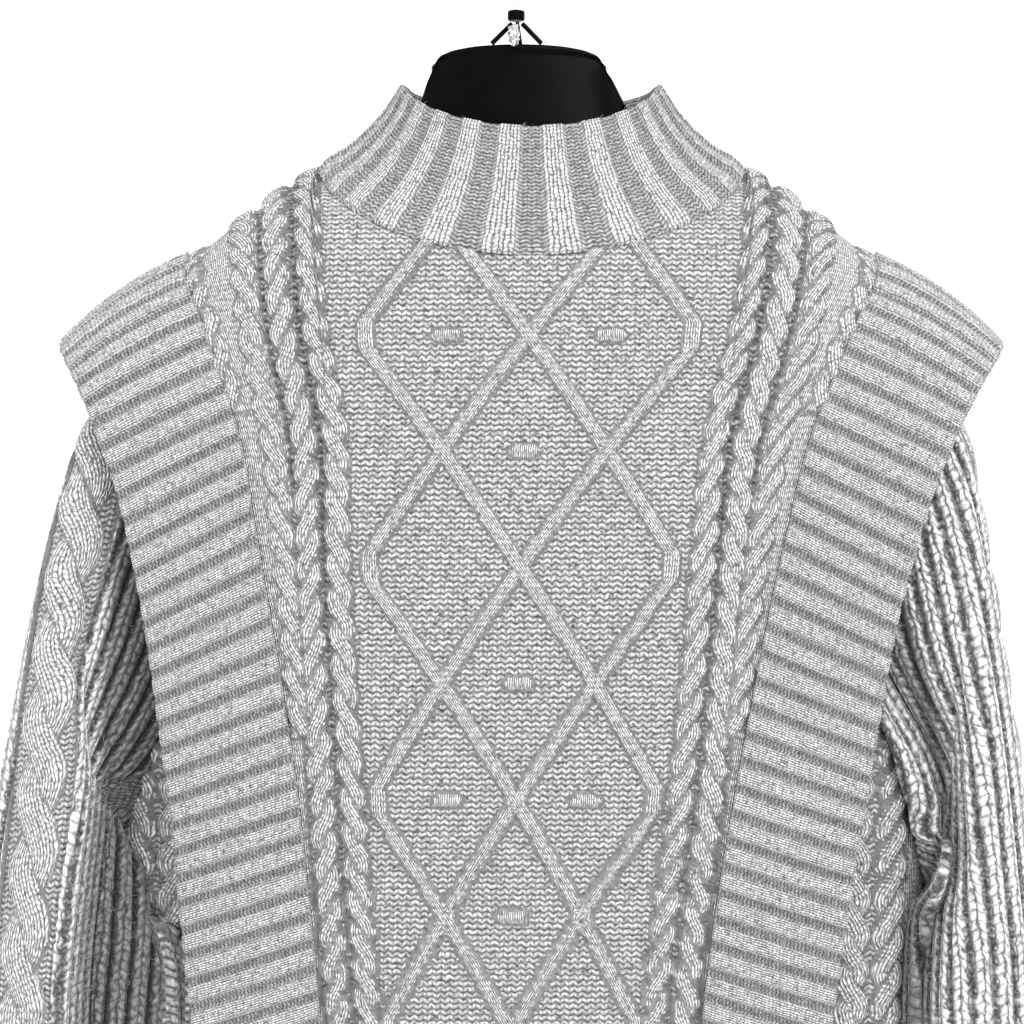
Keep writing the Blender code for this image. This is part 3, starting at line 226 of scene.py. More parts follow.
# Rings of a sleeve from the armhole to the cuff: outer and inner point, middle, depth.
RING_COLUMNS = ("ring", "outer_x", "outer_z", "inner_x", "inner_z", "y", "depth", "fold", "tuck")
SLEEVE_LEFT = Table(
    RING_COLUMNS,
    (0, 0.2075, -0.2070, 0.2275, -0.5545, -0.006, 0.045, 0.00, 0.000),
    (1, 0.2225, -0.2420, 0.2305, -0.5560, -0.009, 0.048, 0.00, 0.000),
    (2, 0.2400, -0.2750, 0.2330, -0.5575, -0.014, 0.050, 0.02, 0.000),
    (3, 0.2520, -0.3080, 0.2345, -0.5590, -0.020, 0.052, 0.05, 0.000),
    (4, 0.2610, -0.3470, 0.2345, -0.5610, -0.027, 0.053, 0.08, 0.000),
    (5, 0.2690, -0.3910, 0.2330, -0.5640, -0.034, 0.053, 0.12, 0.000),
    (6, 0.2760, -0.4360, 0.2300, -0.5690, -0.042, 0.052, 0.15, 0.000),
    (7, 0.2820, -0.4800, 0.2250, -0.5760, -0.050, 0.050, 0.18, 0.000),
    (8, 0.2880, -0.5250, 0.2190, -0.5870, -0.057, 0.048, 0.20, 0.000),
    (9, 0.2925, -0.5650, 0.2130, -0.6050, -0.062, 0.046, 0.20, 0.000),
    (10, 0.2960, -0.6050, 0.2120, -0.6350, -0.064, 0.045, 0.20, 0.000),
    (11, 0.3000, -0.6450, 0.2160, -0.6680, -0.064, 0.044, 0.16, 0.000),
    (12, 0.3050, -0.6900, 0.2250, -0.7070, -0.062, 0.042, 0.12, 0.000),
    (13, 0.3095, -0.7350, 0.2350, -0.7460, -0.060, 0.040, 0.08, 0.000),
    (14, 0.3130, -0.7650, 0.2420, -0.7740, -0.058, 0.037, 0.05, 0.000),
    (15, 0.3145, -0.7880, 0.2450, -0.7960, -0.057, 0.035, 0.05, 0.000),
)
SLEEVE_RIGHT = Table(
    RING_COLUMNS,
    (0, 0.2075, -0.2070, 0.2350, -0.5545, -0.006, 0.045, 0.00, 0.000),
    (1, 0.2240, -0.2400, 0.2390, -0.5580, -0.008, 0.049, 0.00, 0.004),
    (2, 0.2390, -0.2730, 0.2430, -0.5620, -0.011, 0.053, 0.00, 0.009),
    (3, 0.2495, -0.3030, 0.2460, -0.5650, -0.014, 0.055, 0.00, 0.013),
    (4, 0.2580, -0.3420, 0.2480, -0.5660, -0.017, 0.056, 0.00, 0.015),
    (5, 0.2660, -0.3860, 0.2490, -0.5650, -0.020, 0.057, 0.00, 0.015),
    (6, 0.2730, -0.4310, 0.2490, -0.5660, -0.023, 0.058, 0.00, 0.013),
    (7, 0.2800, -0.4760, 0.2480, -0.5710, -0.025, 0.058, 0.00, 0.009),
    (8, 0.2865, -0.5210, 0.2465, -0.5830, -0.027, 0.057, 0.00, 0.004),
    (9, 0.2925, -0.5610, 0.2455, -0.6030, -0.028, 0.056, 0.00, 0.000),
    (10, 0.2990, -0.6010, 0.2450, -0.6310, -0.028, 0.054, 0.00, 0.000),
    (11, 0.3035, -0.6410, 0.2460, -0.6640, -0.029, 0.052, 0.00, 0.000),
    (12, 0.3080, -0.6900, 0.2500, -0.7050, -0.029, 0.048, 0.00, 0.000),
    (13, 0.3125, -0.7350, 0.2540, -0.7450, -0.028, 0.044, 0.00, 0.000),
    (14, 0.3155, -0.7650, 0.2570, -0.7730, -0.028, 0.041, 0.00, 0.000),
    (15, 0.3170, -0.7880, 0.2590, -0.7950, -0.028, 0.039, 0.00, 0.000),
)
LAST_RING = 15
# The edge of the left sleeve's deep fold, beside its cable, from the middle.
FOLD_LEFT = Table(
    ("z", "x"),
    (-0.300, 0.2300), (-0.341, 0.2290), (-0.362, 0.2296), (-0.388, 0.2327), (-0.420, 0.2350),
    (-0.459, 0.2376), (-0.504, 0.2382), (-0.549, 0.2404), (-0.594, 0.2436), (-0.625, 0.2442),
    (-0.800, 0.2560),
)
FOLD_WIDTH, FOLD_DEPTH = 0.011, 0.050
# The crease down the right sleeve, which sets off the bulge under the arm.
CREASE_RIGHT = Table(
    ("z", "x"),
    (-0.350, 0.2000), (-0.389, 0.2110), (-0.420, 0.2205), (-0.450, 0.2300), (-0.496, 0.2420),
    (-0.521, 0.2455), (-0.545, 0.2440), (-0.560, 0.2400), (-0.800, 0.2480),
)
CREASE_HALF, CREASE_DEPTH, BULGE = 0.0055, 0.020, 0.012
BODY_CLEAR = 0.006
CLOSER = {-1: 0.038, 1: 0.021}         # nearer the body under the arm
BOXY = {-1: 0.50, 1: 0.75}             # how flat the side that faces the viewer lies
# The neck of the form, from the plate's top edge down to its root.
PLATE = Table(
    ("x", "top_z"),
    (0.000, -0.0788), (0.015, -0.0792), (0.030, -0.0806), (0.040, -0.0828),
    (0.046, -0.0858), (0.0495, -0.0905),
)


# ------------------------------------------------------------ smooth surfaces
def shoulder_z(x):
    """Height of the shoulder line at a distance from the middle."""
    return SHOULDER("z", np.abs(x))


def half_width(theta, z):
    """Half the body's width at a height, on the side that theta's sign gives."""
    return np.where(theta < 0, BODY("left", z), BODY("right", z))


def angle_at(distance, z):
    """The angle round the section at which a point is that far from the middle."""
    share = np.clip(distance / half_width(np.sign(distance), z), -1, 1)
    angles = np.linspace(-math.pi / 2, math.pi / 2, 361)
    shares = np.sin(angles) * (1 + BROAD * np.cos(angles) ** 2)
    return np.interp(share, shares, angles)


def body_point(face, flat_x, flat_z):
    """The knitted tube's front (face -1) or back (face 1). flat_z is the height, or
    more than the height where the cloth turns over the shoulder."""
    theta = flat_x / SPREAD
    across = half_width(theta, flat_z) * np.sin(theta) * (1 + BROAD * np.cos(theta) ** 2)
    crest = shoulder_z(across)
    turn = np.clip((crest + ROLL_RISE - flat_z) / SHOULDER_ROLL, 0, math.pi / 2)
    z = np.where(turn < math.pi / 2, crest - SHOULDER_ROLL * (1 - np.cos(turn)), flat_z)
    depth = BODY("front" if face < 0 else "back", flat_z)
    profile = np.cos(theta) * (1 + SQUARE * np.sin(theta) ** 2)
    y = face * (depth * profile * np.sin(turn) + SEAM_GAP / 2)
    return np.stack([BODY("middle", flat_z) + across, y, z], axis=-1)


def body_normal(face, flat_x, flat_z):
    """The direction out of the cloth at flat places of the front or the back."""
    step = NORMAL_STEP
    along = body_point(face, flat_x + step, flat_z) - body_point(face, flat_x - step, flat_z)
    fall = body_point(face, flat_x, flat_z + step) - body_point(face, flat_x, flat_z - step)
    normal = np.cross(along, fall) * -face
    return normal / np.maximum(np.linalg.norm(normal, axis=-1, keepdims=True), 1e-12)


def flat_height(x, z):
    """flat_z of a point at distance x from the middle and height z."""
    crest = shoulder_z(x)
    turn = np.arccos(unit(1 - (crest - z) / SHOULDER_ROLL))
    return np.where(z > crest - SHOULDER_ROLL, crest + ROLL_RISE - SHOULDER_ROLL * turn, z)


def to_flat(distance, flat_z):
    """flat_x of a point at a distance from the middle."""
    return angle_at(distance, flat_z) * SPREAD


def lattice_x(start, flat_z):
    """One cord of the lattice: it swings from side to side in four steps of height."""
    share = ((LATTICE_TOP_Z - flat_z) / LATTICE_STEP + start) % 4
    swing = np.abs(share - 2) - 1
    return np.clip(1.06 * swing, -1, 1) * LINES("lattice", flat_z)


def bobbles():
    """Places of the bobbles: in each middle diamond, and in every second side one."""
    places = []
    for step in range(5):
        level = LATTICE_TOP_Z - step * LATTICE_STEP
        places.append((0.0, level - LATTICE_STEP / 2))
        if step % 2 == 0:
            half = float(LINES("lattice", level)) / 2
            places += [(-half, level), (half, level)]
    return places


def neck_edge(face, count):
    """The neck seam on a panel, from the left shoulder to the right, in flat places."""
    beta = np.linspace(-math.pi / 2, math.pi / 2, count)
    drop = NECK_DROP_FRONT if face < 0 else NECK_DROP_BACK
    x = NECK_HALF * np.sin(beta)
    flat_z = flat_height(x, NECK_TOP_Z - drop * np.cos(beta) ** NECK_CURVE)
    return np.stack([to_flat(x, flat_z), flat_z], axis=-1)


COLLAR = Table(
    ("rise", "half", "front_y", "back_y", "side_z", "front_z", "back_z"),
    (0.00, 0.1220, -0.0590, 0.0350, -0.1480, -0.2020, -0.1720),
    (0.30, 0.1030, -0.0555, 0.0370, -0.1365, -0.1800, -0.1530),
    (0.65, 0.0850, -0.0510, 0.0385, -0.1190, -0.1545, -0.1300),
    (1.00, 0.0730, -0.0460, 0.0390, -0.1010, -0.1290, -0.1080),
)


def funnel_ring(side, face, rise):
    """A point of the collar's plain funnel in a direction round the neck."""
    half, side_z = COLLAR("half", rise), COLLAR("side_z", rise)
    depth = np.where(face < 0, -COLLAR("front_y", rise), COLLAR("back_y", rise))
    drop = side_z - np.where(face < 0, COLLAR("front_z", rise), COLLAR("back_z", rise))
    return np.stack([COLLAR_MIDDLE + half * side, depth * face,
                     side_z - drop * np.abs(face) ** NECK_CURVE], axis=-1)


def collar_point(turn, rise):
    """turn goes once round, from 0 at the back; rise is 0 at the seam and 1 at the top."""
    beta = 2 * math.pi * turn + 0.16 * np.sin(4 * math.pi * turn)
    side, face = np.sin(-beta), np.cos(beta)
    to_seam = neck_ring(side, face) - funnel_ring(side, face, 0.0)
    fade = unit(1 - rise / 0.5)[..., None] ** 2
    lift = (COLLAR_LIFT + COLLAR_SIDE_LIFT * side ** 2) * np.clip(rise / 0.10, 0.15, 1)
    place = funnel_ring(side, face, rise) + fade * to_seam
    return place + lift[..., None] * np.array([0.0, 0.0, 1.0])


def neck_ring(side, face):
    """The point of the panels' neck edge in a direction round the neck."""
    x = NECK_HALF * side
    drop = np.where(face < 0, NECK_DROP_FRONT, NECK_DROP_BACK)
    flat_z = flat_height(x, NECK_TOP_Z - drop * np.abs(face) ** NECK_CURVE)
    flat_x = to_flat(x, flat_z)
    front, back = body_point(-1, flat_x, flat_z), body_point(1, flat_x, flat_z)
    return np.where((face < 0)[..., None], front, back)


def armhole_point(side, angle):
    """The panels' armhole edge, at an angle from the shoulder's tip over the front."""
    share = (1 - np.cos(angle)) / 2
    top, bottom = ARMHOLE.rows[-1, 0], ARMHOLE.rows[0, 0]
    z = top + (bottom - top) * share
    flat_x = to_flat(side * ARMHOLE("share", z) * half_width(side, z), z)
    front, back = body_point(-1, flat_x, z), body_point(1, flat_x, z)
    return np.where((np.sin(angle) > -1e-4)[..., None], front, back)


def fold_share(ring, angle, x, z):
    """How far a point of the left sleeve lies in its deep fold, from 0 to 1."""
    share = unit((FOLD_LEFT("x", z) - x) / FOLD_WIDTH) * (np.sin(angle) > 0)
    share = share * share * (3 - 2 * share) * unit((ring - 1.5) / 2.5)
    return share * unit(np.sin(angle) * 1.6)


def crease_share(angle, x, z):
    """How deep a point of the right sleeve lies in the crease, from 0 to 1."""
    strong = unit((-0.345 - z) / 0.04) * unit(np.sin(angle) * 1.6)
    return strong * np.exp(-((x - CREASE_RIGHT("x", z)) / CREASE_HALF) ** 2)


def bulge_share(angle, x, z):
    """How far a point of the right sleeve stands out in the bulge under the arm."""
    inside = unit((CREASE_RIGHT("x", z) - x) / 0.045)
    strong = unit((-0.380 - z) / 0.05) * unit((z + 0.572) / 0.020)
    return np.sin(inside * math.pi) ** 0.7 * strong * unit(np.sin(angle) * 1.6)


def clear_of_body(place, ring):
    """Presses a sleeve's points out of the body where it would pass into it."""
    z = place[..., 2]
    middle = BODY("middle", z)
    across = place[..., 0] - middle
    wide = half_width(across, z) + BODY_CLEAR
    deep = np.where(place[..., 1] < 0, BODY("front", z), BODY("back", z)) + BODY_CLEAR
    x, y = np.abs(across) / wide, np.abs(place[..., 1]) / deep
    theta = np.linspace(0, math.pi / 2, 181)
    edge_x = np.sin(theta) * (1 + BROAD * np.cos(theta) ** 2)
    edge_y = np.cos(theta) * (1 + SQUARE * np.sin(theta) ** 2)
    reach = np.interp(np.arctan2(x, y), np.arctan2(edge_x, edge_y), np.hypot(edge_x, edge_y))
    pressed = np.maximum(reach / np.maximum(np.hypot(x, y), 0.3), 1) - 1
    pressed = pressed * unit((ring - 2.5) / 2.5) * unit((-0.545 - z) / 0.02)
    return np.stack([middle + across * (1 + pressed), place[..., 1] * (1 + pressed), z], axis=-1)


def ring_line(read, toward):
    """x and z on the straight line from a ring's outer point to its inner one."""
    return [read["outer_" + axis] + toward * (read["inner_" + axis] - read["outer_" + axis])
            for axis in "xz"]


def ring_point(side, ring, angle):
    """A point of a sleeve: ring 0 is the armhole, angle 0 its outer line, over the front."""
    table = SLEEVE_LEFT if side < 0 else SLEEVE_RIGHT
    read, first = ({name: table(name, at) for name in RING_COLUMNS[1:]} for at in (ring, 0.0))
    toward = (1 - np.cos(angle)) / 2
    x, z = ring_line(read, toward)
    front = np.sin(angle) > 0
    boxy = 1 - (1 - BOXY[side]) * unit(ring / 4) * front
    swell = np.sign(np.sin(angle)) * np.abs(np.sin(angle)) ** boxy
    swell = swell * (1 + np.where(front, read["fold"], 0) * np.sin(angle) ** 6)
    tuck = read["tuck"] * np.exp(-((angle - TUCK_ANGLE) / TUCK_WIDTH) ** 2)
    if side < 0:
        swell = swell * np.where(front, 1, 1 - 0.75 * unit((toward - 0.45) / 0.4)
                                 * unit((ring - 3) / 3.5))
    y = read["y"] - read["depth"] * swell + tuck
    closer = unit((ring - 3) / 3.5) * unit((16.5 - ring) / 3) * CLOSER[side]
    x = x - closer * toward
    if side < 0:
        y = y + FOLD_DEPTH * fold_share(ring, angle, x, z)
    else:
        y = y + CREASE_DEPTH * crease_share(angle, x, z) - BULGE * bulge_share(angle, x, z)
    place = np.stack([BODY("middle", z) + side * x, y, z], axis=-1)
    first_x, first_z = ring_line(first, toward)
    start = np.stack([BODY("middle", first_z) + side * first_x,
                      first["y"] - first["depth"] * np.sin(angle), first_z], axis=-1)
    edge = armhole_point(side, angle)
    edge[..., 0] += side * ARMHOLE_GAP[side]
    fade = unit(1 - ring / 3.0)[..., None] ** 2
    return clear_of_body(place + fade * (edge - start), ring)




# ------------------------------------------------------------ what the knitting raises
def pointed(x):
    """0 to 1 and back over each unit, 1 at whole numbers."""
    return np.abs(2 * (x % 1) - 1)


def rib_share(place, half, edge):
    """1 on the knit wales of a rib and 0 between two ribs. place counts ribs."""
    return unit((half - np.abs(place % 1 - 0.5)) / edge)


class Relief:
    """Height, stitch place, kind (0 purl, 1 knit), holes and shadow of a patch of knitting."""

    def __init__(self, u, v):
        self.high = np.zeros_like(u)
        self.u, self.v = u.copy(), v.copy()
        # hole and deep are painted shade: they darken the yarn's colour in holes, hollows and folds.
        self.kind, self.hole, self.deep = (np.zeros_like(u) for _ in range(3))

    def lay(self, high, u, v, kind=1.0):
        """Lays a raised form over the patch wherever it stands higher."""
        self.instead(high > self.high, high=high, u=u, v=v, kind=kind, hole=0.0, deep=0.0)

    def instead(self, where, **layers):
        """Puts other knitting in place of the patch's own."""
        for word, values in layers.items():
            setattr(self, word, np.where(where, values, getattr(self, word)))


def rope(relief, off, along, half, high, pitch, lean, shown, wales):
    """A cable of two strands, each passing over the other in turn, always the same way."""
    phase = math.pi * along / pitch
    strand_half, sway = 0.66 * half, lean * 0.42 * half
    for turn in (0.0, math.pi):
        swing, top = np.sin(phase + turn), np.cos(phase + turn)
        away = (off - sway * swing) / (strand_half * (0.88 + 0.12 * top))
        dome = np.sqrt(unit(1 - away ** 2))
        raised = high * (0.66 * dome + 0.34 * top) * (np.abs(away) < 1)
        raised = np.where(shown, np.maximum(raised, 0), 0)
        slant = sway * math.pi / pitch * top
        relief.lay(raised, away * wales / 2 + 10 * (turn > 1), (along + slant * off) / COURSE)


def lay_lattice(relief, distance, flat_z):
    """The narrow cords, which pass over each other in turn, and the bobbles between them."""
    shown = flat_z > PATTERN_END
    for start in range(4):
        share = ((LATTICE_TOP_Z - flat_z) / LATTICE_STEP + start) % 4
        steep = LINES("lattice", flat_z) / LATTICE_STEP
        long = np.sqrt(1 + steep ** 2)
        off = (distance - lattice_x(start, flat_z)) / long
        going_right = share > 2
        near = unit(1 - np.abs((share * 2 + 0.5) % 1 - 0.5) / 0.10)
        centre = np.abs((share % 2) - 1) < 0.25
        bend = np.minimum(share % 2, 2 - share % 2) < 0.25
        level = np.floor((LATTICE_TOP_Z - flat_z) / LATTICE_STEP) % 2 < 1
        leans_right = np.where(distance < 0, level, ~level)
        over = np.where(centre, going_right, leans_right == going_right)
        height = CORD_HIGH * np.where(bend | over, 1.0, 1 - 0.42 * np.sin(near * math.pi / 2))
        dome = unit(1 - np.abs(off / CORD_HALF) ** 2.6) ** 0.6
        relief.lay(height * dome * shown, off / WALE, -flat_z * long / COURSE)
    for x, z in bobbles():
        away = ((distance - x) / BOBBLE_HALF_WIDE) ** 4 + ((flat_z - z) / BOBBLE_HALF_TALL) ** 2
        lump = BOBBLE_HIGH * np.sqrt(unit(1 - away))
        relief.lay(lump, (distance - x) / WALE, (flat_z - z) / (2 * COURSE) + 0.5)


def lay_hem_rib(relief, distance, flat_z):
    """The rib below the pattern, in place of all that lies there."""
    rise = rib_share(distance / HEM_RIB_PITCH, 0.36, 0.14)
    # deep = 1 - rise is painted shade in the purl hollows between the ribs.
    relief.instead(flat_z < PATTERN_END, high=HEM_RIB_HIGH * np.sin(rise * math.pi / 2),
                   kind=unit(rise * 2 - 0.4), u=distance / WALE,
                   v=-flat_z / FINE_COURSE, deep=1 - rise, hole=0.0)


def front_relief(distance, flat_z, lattice):
    """The front's knitting at distances from the middle line and flat heights."""
    relief = Relief(distance / PURL_WALE, -flat_z / PURL_COURSE)
    side, reach = np.where(distance < 0, -1, 1), np.abs(distance)
    lines = {name: LINES(name, flat_z) for name in LINES.names[1:]}
    seam, beside = lines["band_seam"], CABLE_HALF * 1.1
    strip_inner = np.maximum(lines["cable_b"] - beside, lines["cable_c"] + beside)
    strip = unit((reach - strip_inner) / 0.002) * (reach < seam + 0.006)
    relief.lay(PLAIN_HIGH * strip * (flat_z < STRIP_TOP), (seam - reach) / WALE, -flat_z / COURSE)
    if lattice:
        lay_lattice(relief, distance, flat_z)
    for name, lean, top, bottom in ROPES:
        off = (reach - lines[name]) * side
        shown = (flat_z < top) & (flat_z > bottom)
        rope(relief, off, top - flat_z, CABLE_HALF, CABLE_HIGH, CABLE_PITCH, lean * side, shown, 3)
    shown = (flat_z < STRIP_TOP) & (flat_z > SEAM_CABLE_END)
    rope(relief, (reach - seam + 0.002) * side, STRIP_TOP - flat_z, CABLE_HALF, CABLE_HIGH,
         CABLE_PITCH, side, shown, 3)
    for number, middle in enumerate(SIDE_CABLES):
        rope(relief, (reach - middle) * side, -flat_z, SIDE_CABLE_HALF, CABLE_HIGH,
             SIDE_CABLE_PITCH, side * (1 - 2 * number), flat_z < SIDE_CABLE_TOP, 3)
    wales = unit((reach - SIDE_CABLES[1] - 0.0095) / 0.001) * (flat_z < SIDE_WALES_TOP)
    relief.lay(SIDE_WALES_HIGH * wales, reach / WALE, -flat_z / COURSE)
    # The ladders' holes sink the knitting a little and darken its colour: the dark is painted shade in
    # the openings.
    for inner, outer, bottom in LADDERS:
        middle = (lines[inner] + lines[outer]) / 2
        rung = unit(pointed(-flat_z / LADDER_PITCH) * 2.2 - 0.7)
        width = unit((LADDER_HALF - np.abs(reach - middle)) / LADDER_EDGE)
        shown = (flat_z > bottom) & (flat_z < LADDER_TOP) & (relief.high < 0.0030)
        open_up = np.clip((flat_z + 0.560) / 0.2, 0.55, 1)
        relief.hole = np.maximum(relief.hole, rung * width * shown * open_up)
    lay_hem_rib(relief, distance, flat_z)
    relief.high = relief.high - HOLE_DEPTH * relief.hole
    # Painted shade: the low purl ground between the ropes is darkened.
    between_ropes = (reach > lines["cable_d"] - CABLE_HALF) & (reach < strip_inner)
    relief.deep = np.where(between_ropes & (relief.high < 0.0006), 0.9, relief.deep)
    under_band = (reach > seam + 0.004) & (flat_z > UNDER_BAND_END)
    relief.high = np.where(under_band, np.minimum(relief.high, UNDER_BAND_HIGH), relief.high)
    return relief


# ------------------------------------------------------------ building thin closed walls
def added(name, data):
    """An object in the scene that shows a mesh, a lamp or a lens."""
    piece = bpy.data.objects.new(name, data)
    bpy.context.scene.collection.objects.link(piece)
    return piece


def mesh_piece(name, points, faces, material):
    """An object with a mesh of these points and faces."""
    mesh = bpy.data.meshes.new(name)
    mesh.from_pydata(points, [], faces)
    mesh.materials.append(material)
    return added(name, mesh)


def grid_normals(points, closed, sign):
    """The direction out of a grid of points at each of them."""
    down = np.gradient(points, axis=0)
    if closed:
        across = np.roll(points, -1, axis=1) - np.roll(points, 1, axis=1)
    else:
        across = np.gradient(points, axis=1)
    normal = np.cross(across, down) * sign
    return normal / np.maximum(np.linalg.norm(normal, axis=2, keepdims=True), 1e-12)


def thin_wall(name, points, relief, wall, sign, closed, skip, material, normal=None):
    """A wall whose outside is the grid of points raised by the relief, and whose inside is a
    plain grid of every skip-th row and column. closed joins the last column to the first."""
    rows, columns = points.shape[:2]
    if normal is None:
        normal = grid_normals(points, closed, sign)
    outer = points + relief.high[..., None] * normal
    keep_rows = sorted({*range(0, rows, skip), rows - 1})
    keep_columns = sorted({*range(0, columns, skip), *([] if closed else [columns - 1])})
    inner = (points - wall * normal)[np.ix_(keep_rows, keep_columns)]
    shift = rows * columns
    outer_id = np.arange(shift).reshape(rows, columns)
    inner_id = shift + np.arange(inner[..., 0].size).reshape(inner.shape[:2])
    faces = []

    def skin(ids, flip):
        right = np.roll(ids, -1, axis=1) if closed else ids[:, 1:]
        left = ids if closed else ids[:, :-1]
        quads = np.stack([left[:-1], left[1:], right[1:], right[:-1]], axis=-1).reshape(-1, 4)
        faces.extend((quads[:, ::-1] if flip else quads).tolist())

    skin(outer_id, sign > 0)
    skin(inner_id, sign < 0)

    def rim(outer_line, kept, inner_line, flip):
        for j in range(len(inner_line) - 1):
            run = list(outer_line[kept[j]:kept[j + 1] + 1])
            face = run + [inner_line[j + 1], inner_line[j]]
            faces.append(face[::-1] if flip else face)

    for row, flip in ((0, sign > 0), (-1, sign < 0)):
        line, kept, back = outer_id[row].tolist(), list(keep_columns), inner_id[row].tolist()
        if closed:
            line, kept, back = line + [line[0]], kept + [columns], back + [back[0]]
        rim(line, kept, back, flip)
    if not closed:
        for column, flip in ((0, sign < 0), (-1, sign > 0)):
            rim(outer_id[:, column].tolist(), keep_rows, inner_id[:, column].tolist(), flip)
    place = np.vstack([outer.reshape(-1, 3), inner.reshape(-1, 3)])
    place[:, 1] -= HANGER_Y
    piece = mesh_piece(name, place.tolist(), faces, material)
    mesh = piece.data
    flat_u, flat_v = (np.concatenate([line.ravel(), line[np.ix_(keep_rows, keep_columns)].ravel()])
                      for line in (relief.u, relief.v))
    corner = np.empty(len(mesh.loops), dtype=np.int32)
    mesh.loops.foreach_get("vertex_index", corner)
    stitch = mesh.uv_layers.new(name="stitch")
    stitch.data.foreach_set("uv", np.stack([flat_u[corner], flat_v[corner]], axis=-1).ravel())
    plain = np.zeros(inner[..., 0].size)
    for word, values in (("kind", relief.kind), ("hole", relief.hole), ("deep", relief.deep)):
        layer = mesh.attributes.new(word, "FLOAT", "POINT")
        layer.data.foreach_set("value", np.concatenate([values.ravel(), plain]))
    mesh.shade_smooth()
    piece["outer_points"] = shift
    return piece


def between(low, high, step):
    """Even places from low to high, about a step apart."""
    return np.linspace(low, high, max(2, round(abs(high - low) / step) + 1))


# ------------------------------------------------------------ the pieces' grids
def panel_grid(face, fine, coarse):
    """Flat places of a panel: columns run from its upper edge to the hem, and rows follow the
    neck and level out below it."""
    edge = neck_edge(face, 121)
    quarter = SPREAD * math.pi / 2
    corner = float(edge[-1, 0])
    arm_z = ARMHOLE.rows[:, 0]

    def reach(flat_z):
        share = np.where(flat_z > arm_z[0], ARMHOLE("share", flat_z), 1.0)
        return np.where(flat_z > arm_z[0], to_flat(share * half_width(1.0, flat_z), flat_z), quarter)

    corner_z = float(np.interp(corner, edge[:, 0], edge[:, 1]))
    corner_share = corner / float(reach(np.array(corner_z)))
    half = np.concatenate([between(0, corner_share, fine / quarter)[:-1],
                           between(corner_share, COARSE_FROM, fine / quarter)[:-1],
                           between(COARSE_FROM, 1.0, coarse / quarter)])
    share = np.concatenate([-half[:0:-1], half])
    top = np.full(len(share), -0.16)
    for _ in range(12):
        flat_x = share * reach(top)
        neck = np.interp(flat_x, edge[:, 0], edge[:, 1])
        across = body_point(face, flat_x, top)[..., 0] - BODY("middle", top)
        crest = shoulder_z(across) + ROLL_RISE
        top = np.where(np.abs(share) < corner_share - 1e-6, neck, crest)
    upper = between(0, 1, fine / 0.50)[:, None]
    lower = between(FINE_DOWN_TO, HEM_Z, LOWER_ROW)[1:]
    highest = top.max()
    level = highest + (FINE_DOWN_TO - highest) * upper
    flat_z = np.vstack([level - (highest - top) * (1 - upper) ** 3,
                        np.repeat(lower[:, None], len(share), axis=1)])
    return share * reach(flat_z), flat_z


def sleeve_grid(side, step):
    """Points of a sleeve, the girth from its outer line and the length down it, the girth at
    which its cable's middle lies, and how far each point lies in a fold's shadow."""
    rings = between(0, LAST_RING, step / 0.026)
    around = np.linspace(-math.pi, math.pi, 4001)
    dense = ring_point(side, *np.meshgrid((3.0, 6.0, 9.0, 12.0), around, indexing="ij"))
    turned = np.concatenate([[0], np.cumsum(np.linalg.norm(np.diff(dense, axis=1), axis=2).sum(0))])
    columns = 2 * round(SLEEVE_GIRTH / 2 / step)
    angles = np.interp(np.arange(columns) / columns, turned / turned[-1], around)
    zero = int(np.argmin(np.abs(angles)))
    grid = ring_point(side, *np.meshgrid(rings, angles, indexing="ij"))
    # The wales run down the sleeve, so places are counted along level cuts through it.
    levels = np.linspace(grid[..., 2].max(), grid[..., 2].min(), LEVEL_CUTS)
    cut = np.empty((len(levels), len(angles), 2))
    for j in range(len(angles)):
        height = np.maximum.accumulate(-grid[:, j, 2])
        for axis in (0, 1):
            cut[:, j, axis] = np.interp(-levels, height, grid[:, j, axis])
    steps = np.linalg.norm(np.diff(cut, axis=1), axis=2)
    turned = np.concatenate([np.zeros((len(levels), 1)), np.cumsum(steps, axis=1)], axis=1)
    turned -= turned[:, zero][:, None]
    girth = np.stack([np.interp(-grid[:, j, 2], -levels, turned[:, j])
                      for j in range(len(angles))], axis=1)
    outer_x = np.abs(cut[:, zero, 0])
    lean = np.gradient(outer_x, -levels)
    length = np.concatenate([[0], np.cumsum(np.hypot(np.diff(outer_x), np.diff(levels)))])
    away = np.interp(-grid[..., 2], -levels, outer_x) - np.abs(grid[..., 0])
    lower = grid[..., 2] - away * np.interp(-grid[..., 2], -levels, lean)
    along = np.interp(-lower, -levels, length)
    x = side * (grid[..., 0] - BODY("middle", grid[..., 2]))
    if side > 0:
        # Painted shadow: in the right sleeve's crease, and on its inner side in the gap beside the
        # body under the arm.
        gap = unit((0.2395 - x) / 0.006) * unit((-0.552 - grid[..., 2]) / 0.012)
        shadow = np.maximum(crease_share(angles, x, grid[..., 2]), gap * (np.sin(angles) > -0.2))
        return grid, girth, along, np.full_like(girth, SLEEVE_CABLE_RIGHT), shadow
    # The left sleeve's cable lies beside its fold, so its middle follows the fold's edge.
    edge = FOLD_LEFT("x", levels)
    front = slice(zero, zero + len(angles) // 3)
    middle = []
    for k, level in enumerate(levels):
        reach = -(cut[k, front, 0] - BODY("middle", level))
        wanted = min((reach.max() + edge[k]) / 2, edge[k] + SLEEVE_CABLE_HALF + 0.006)
        middle.append(turned[k, front][int(np.argmax(reach < wanted))])
    middle = np.convolve(np.pad(middle, 8, "edge"), np.ones(17) / 17, "valid")
    # Painted shadow over the left sleeve's deep fold, from its edge inwards.
    shadow = unit((FOLD_LEFT("x", grid[..., 2]) - x) / (0.6 * FOLD_WIDTH))
    shadow *= unit(np.sin(angles) * 4) * unit((-0.300 - grid[..., 2]) / 0.02)
    return grid, girth, along, np.interp(-grid[..., 2], -levels, middle), shadow


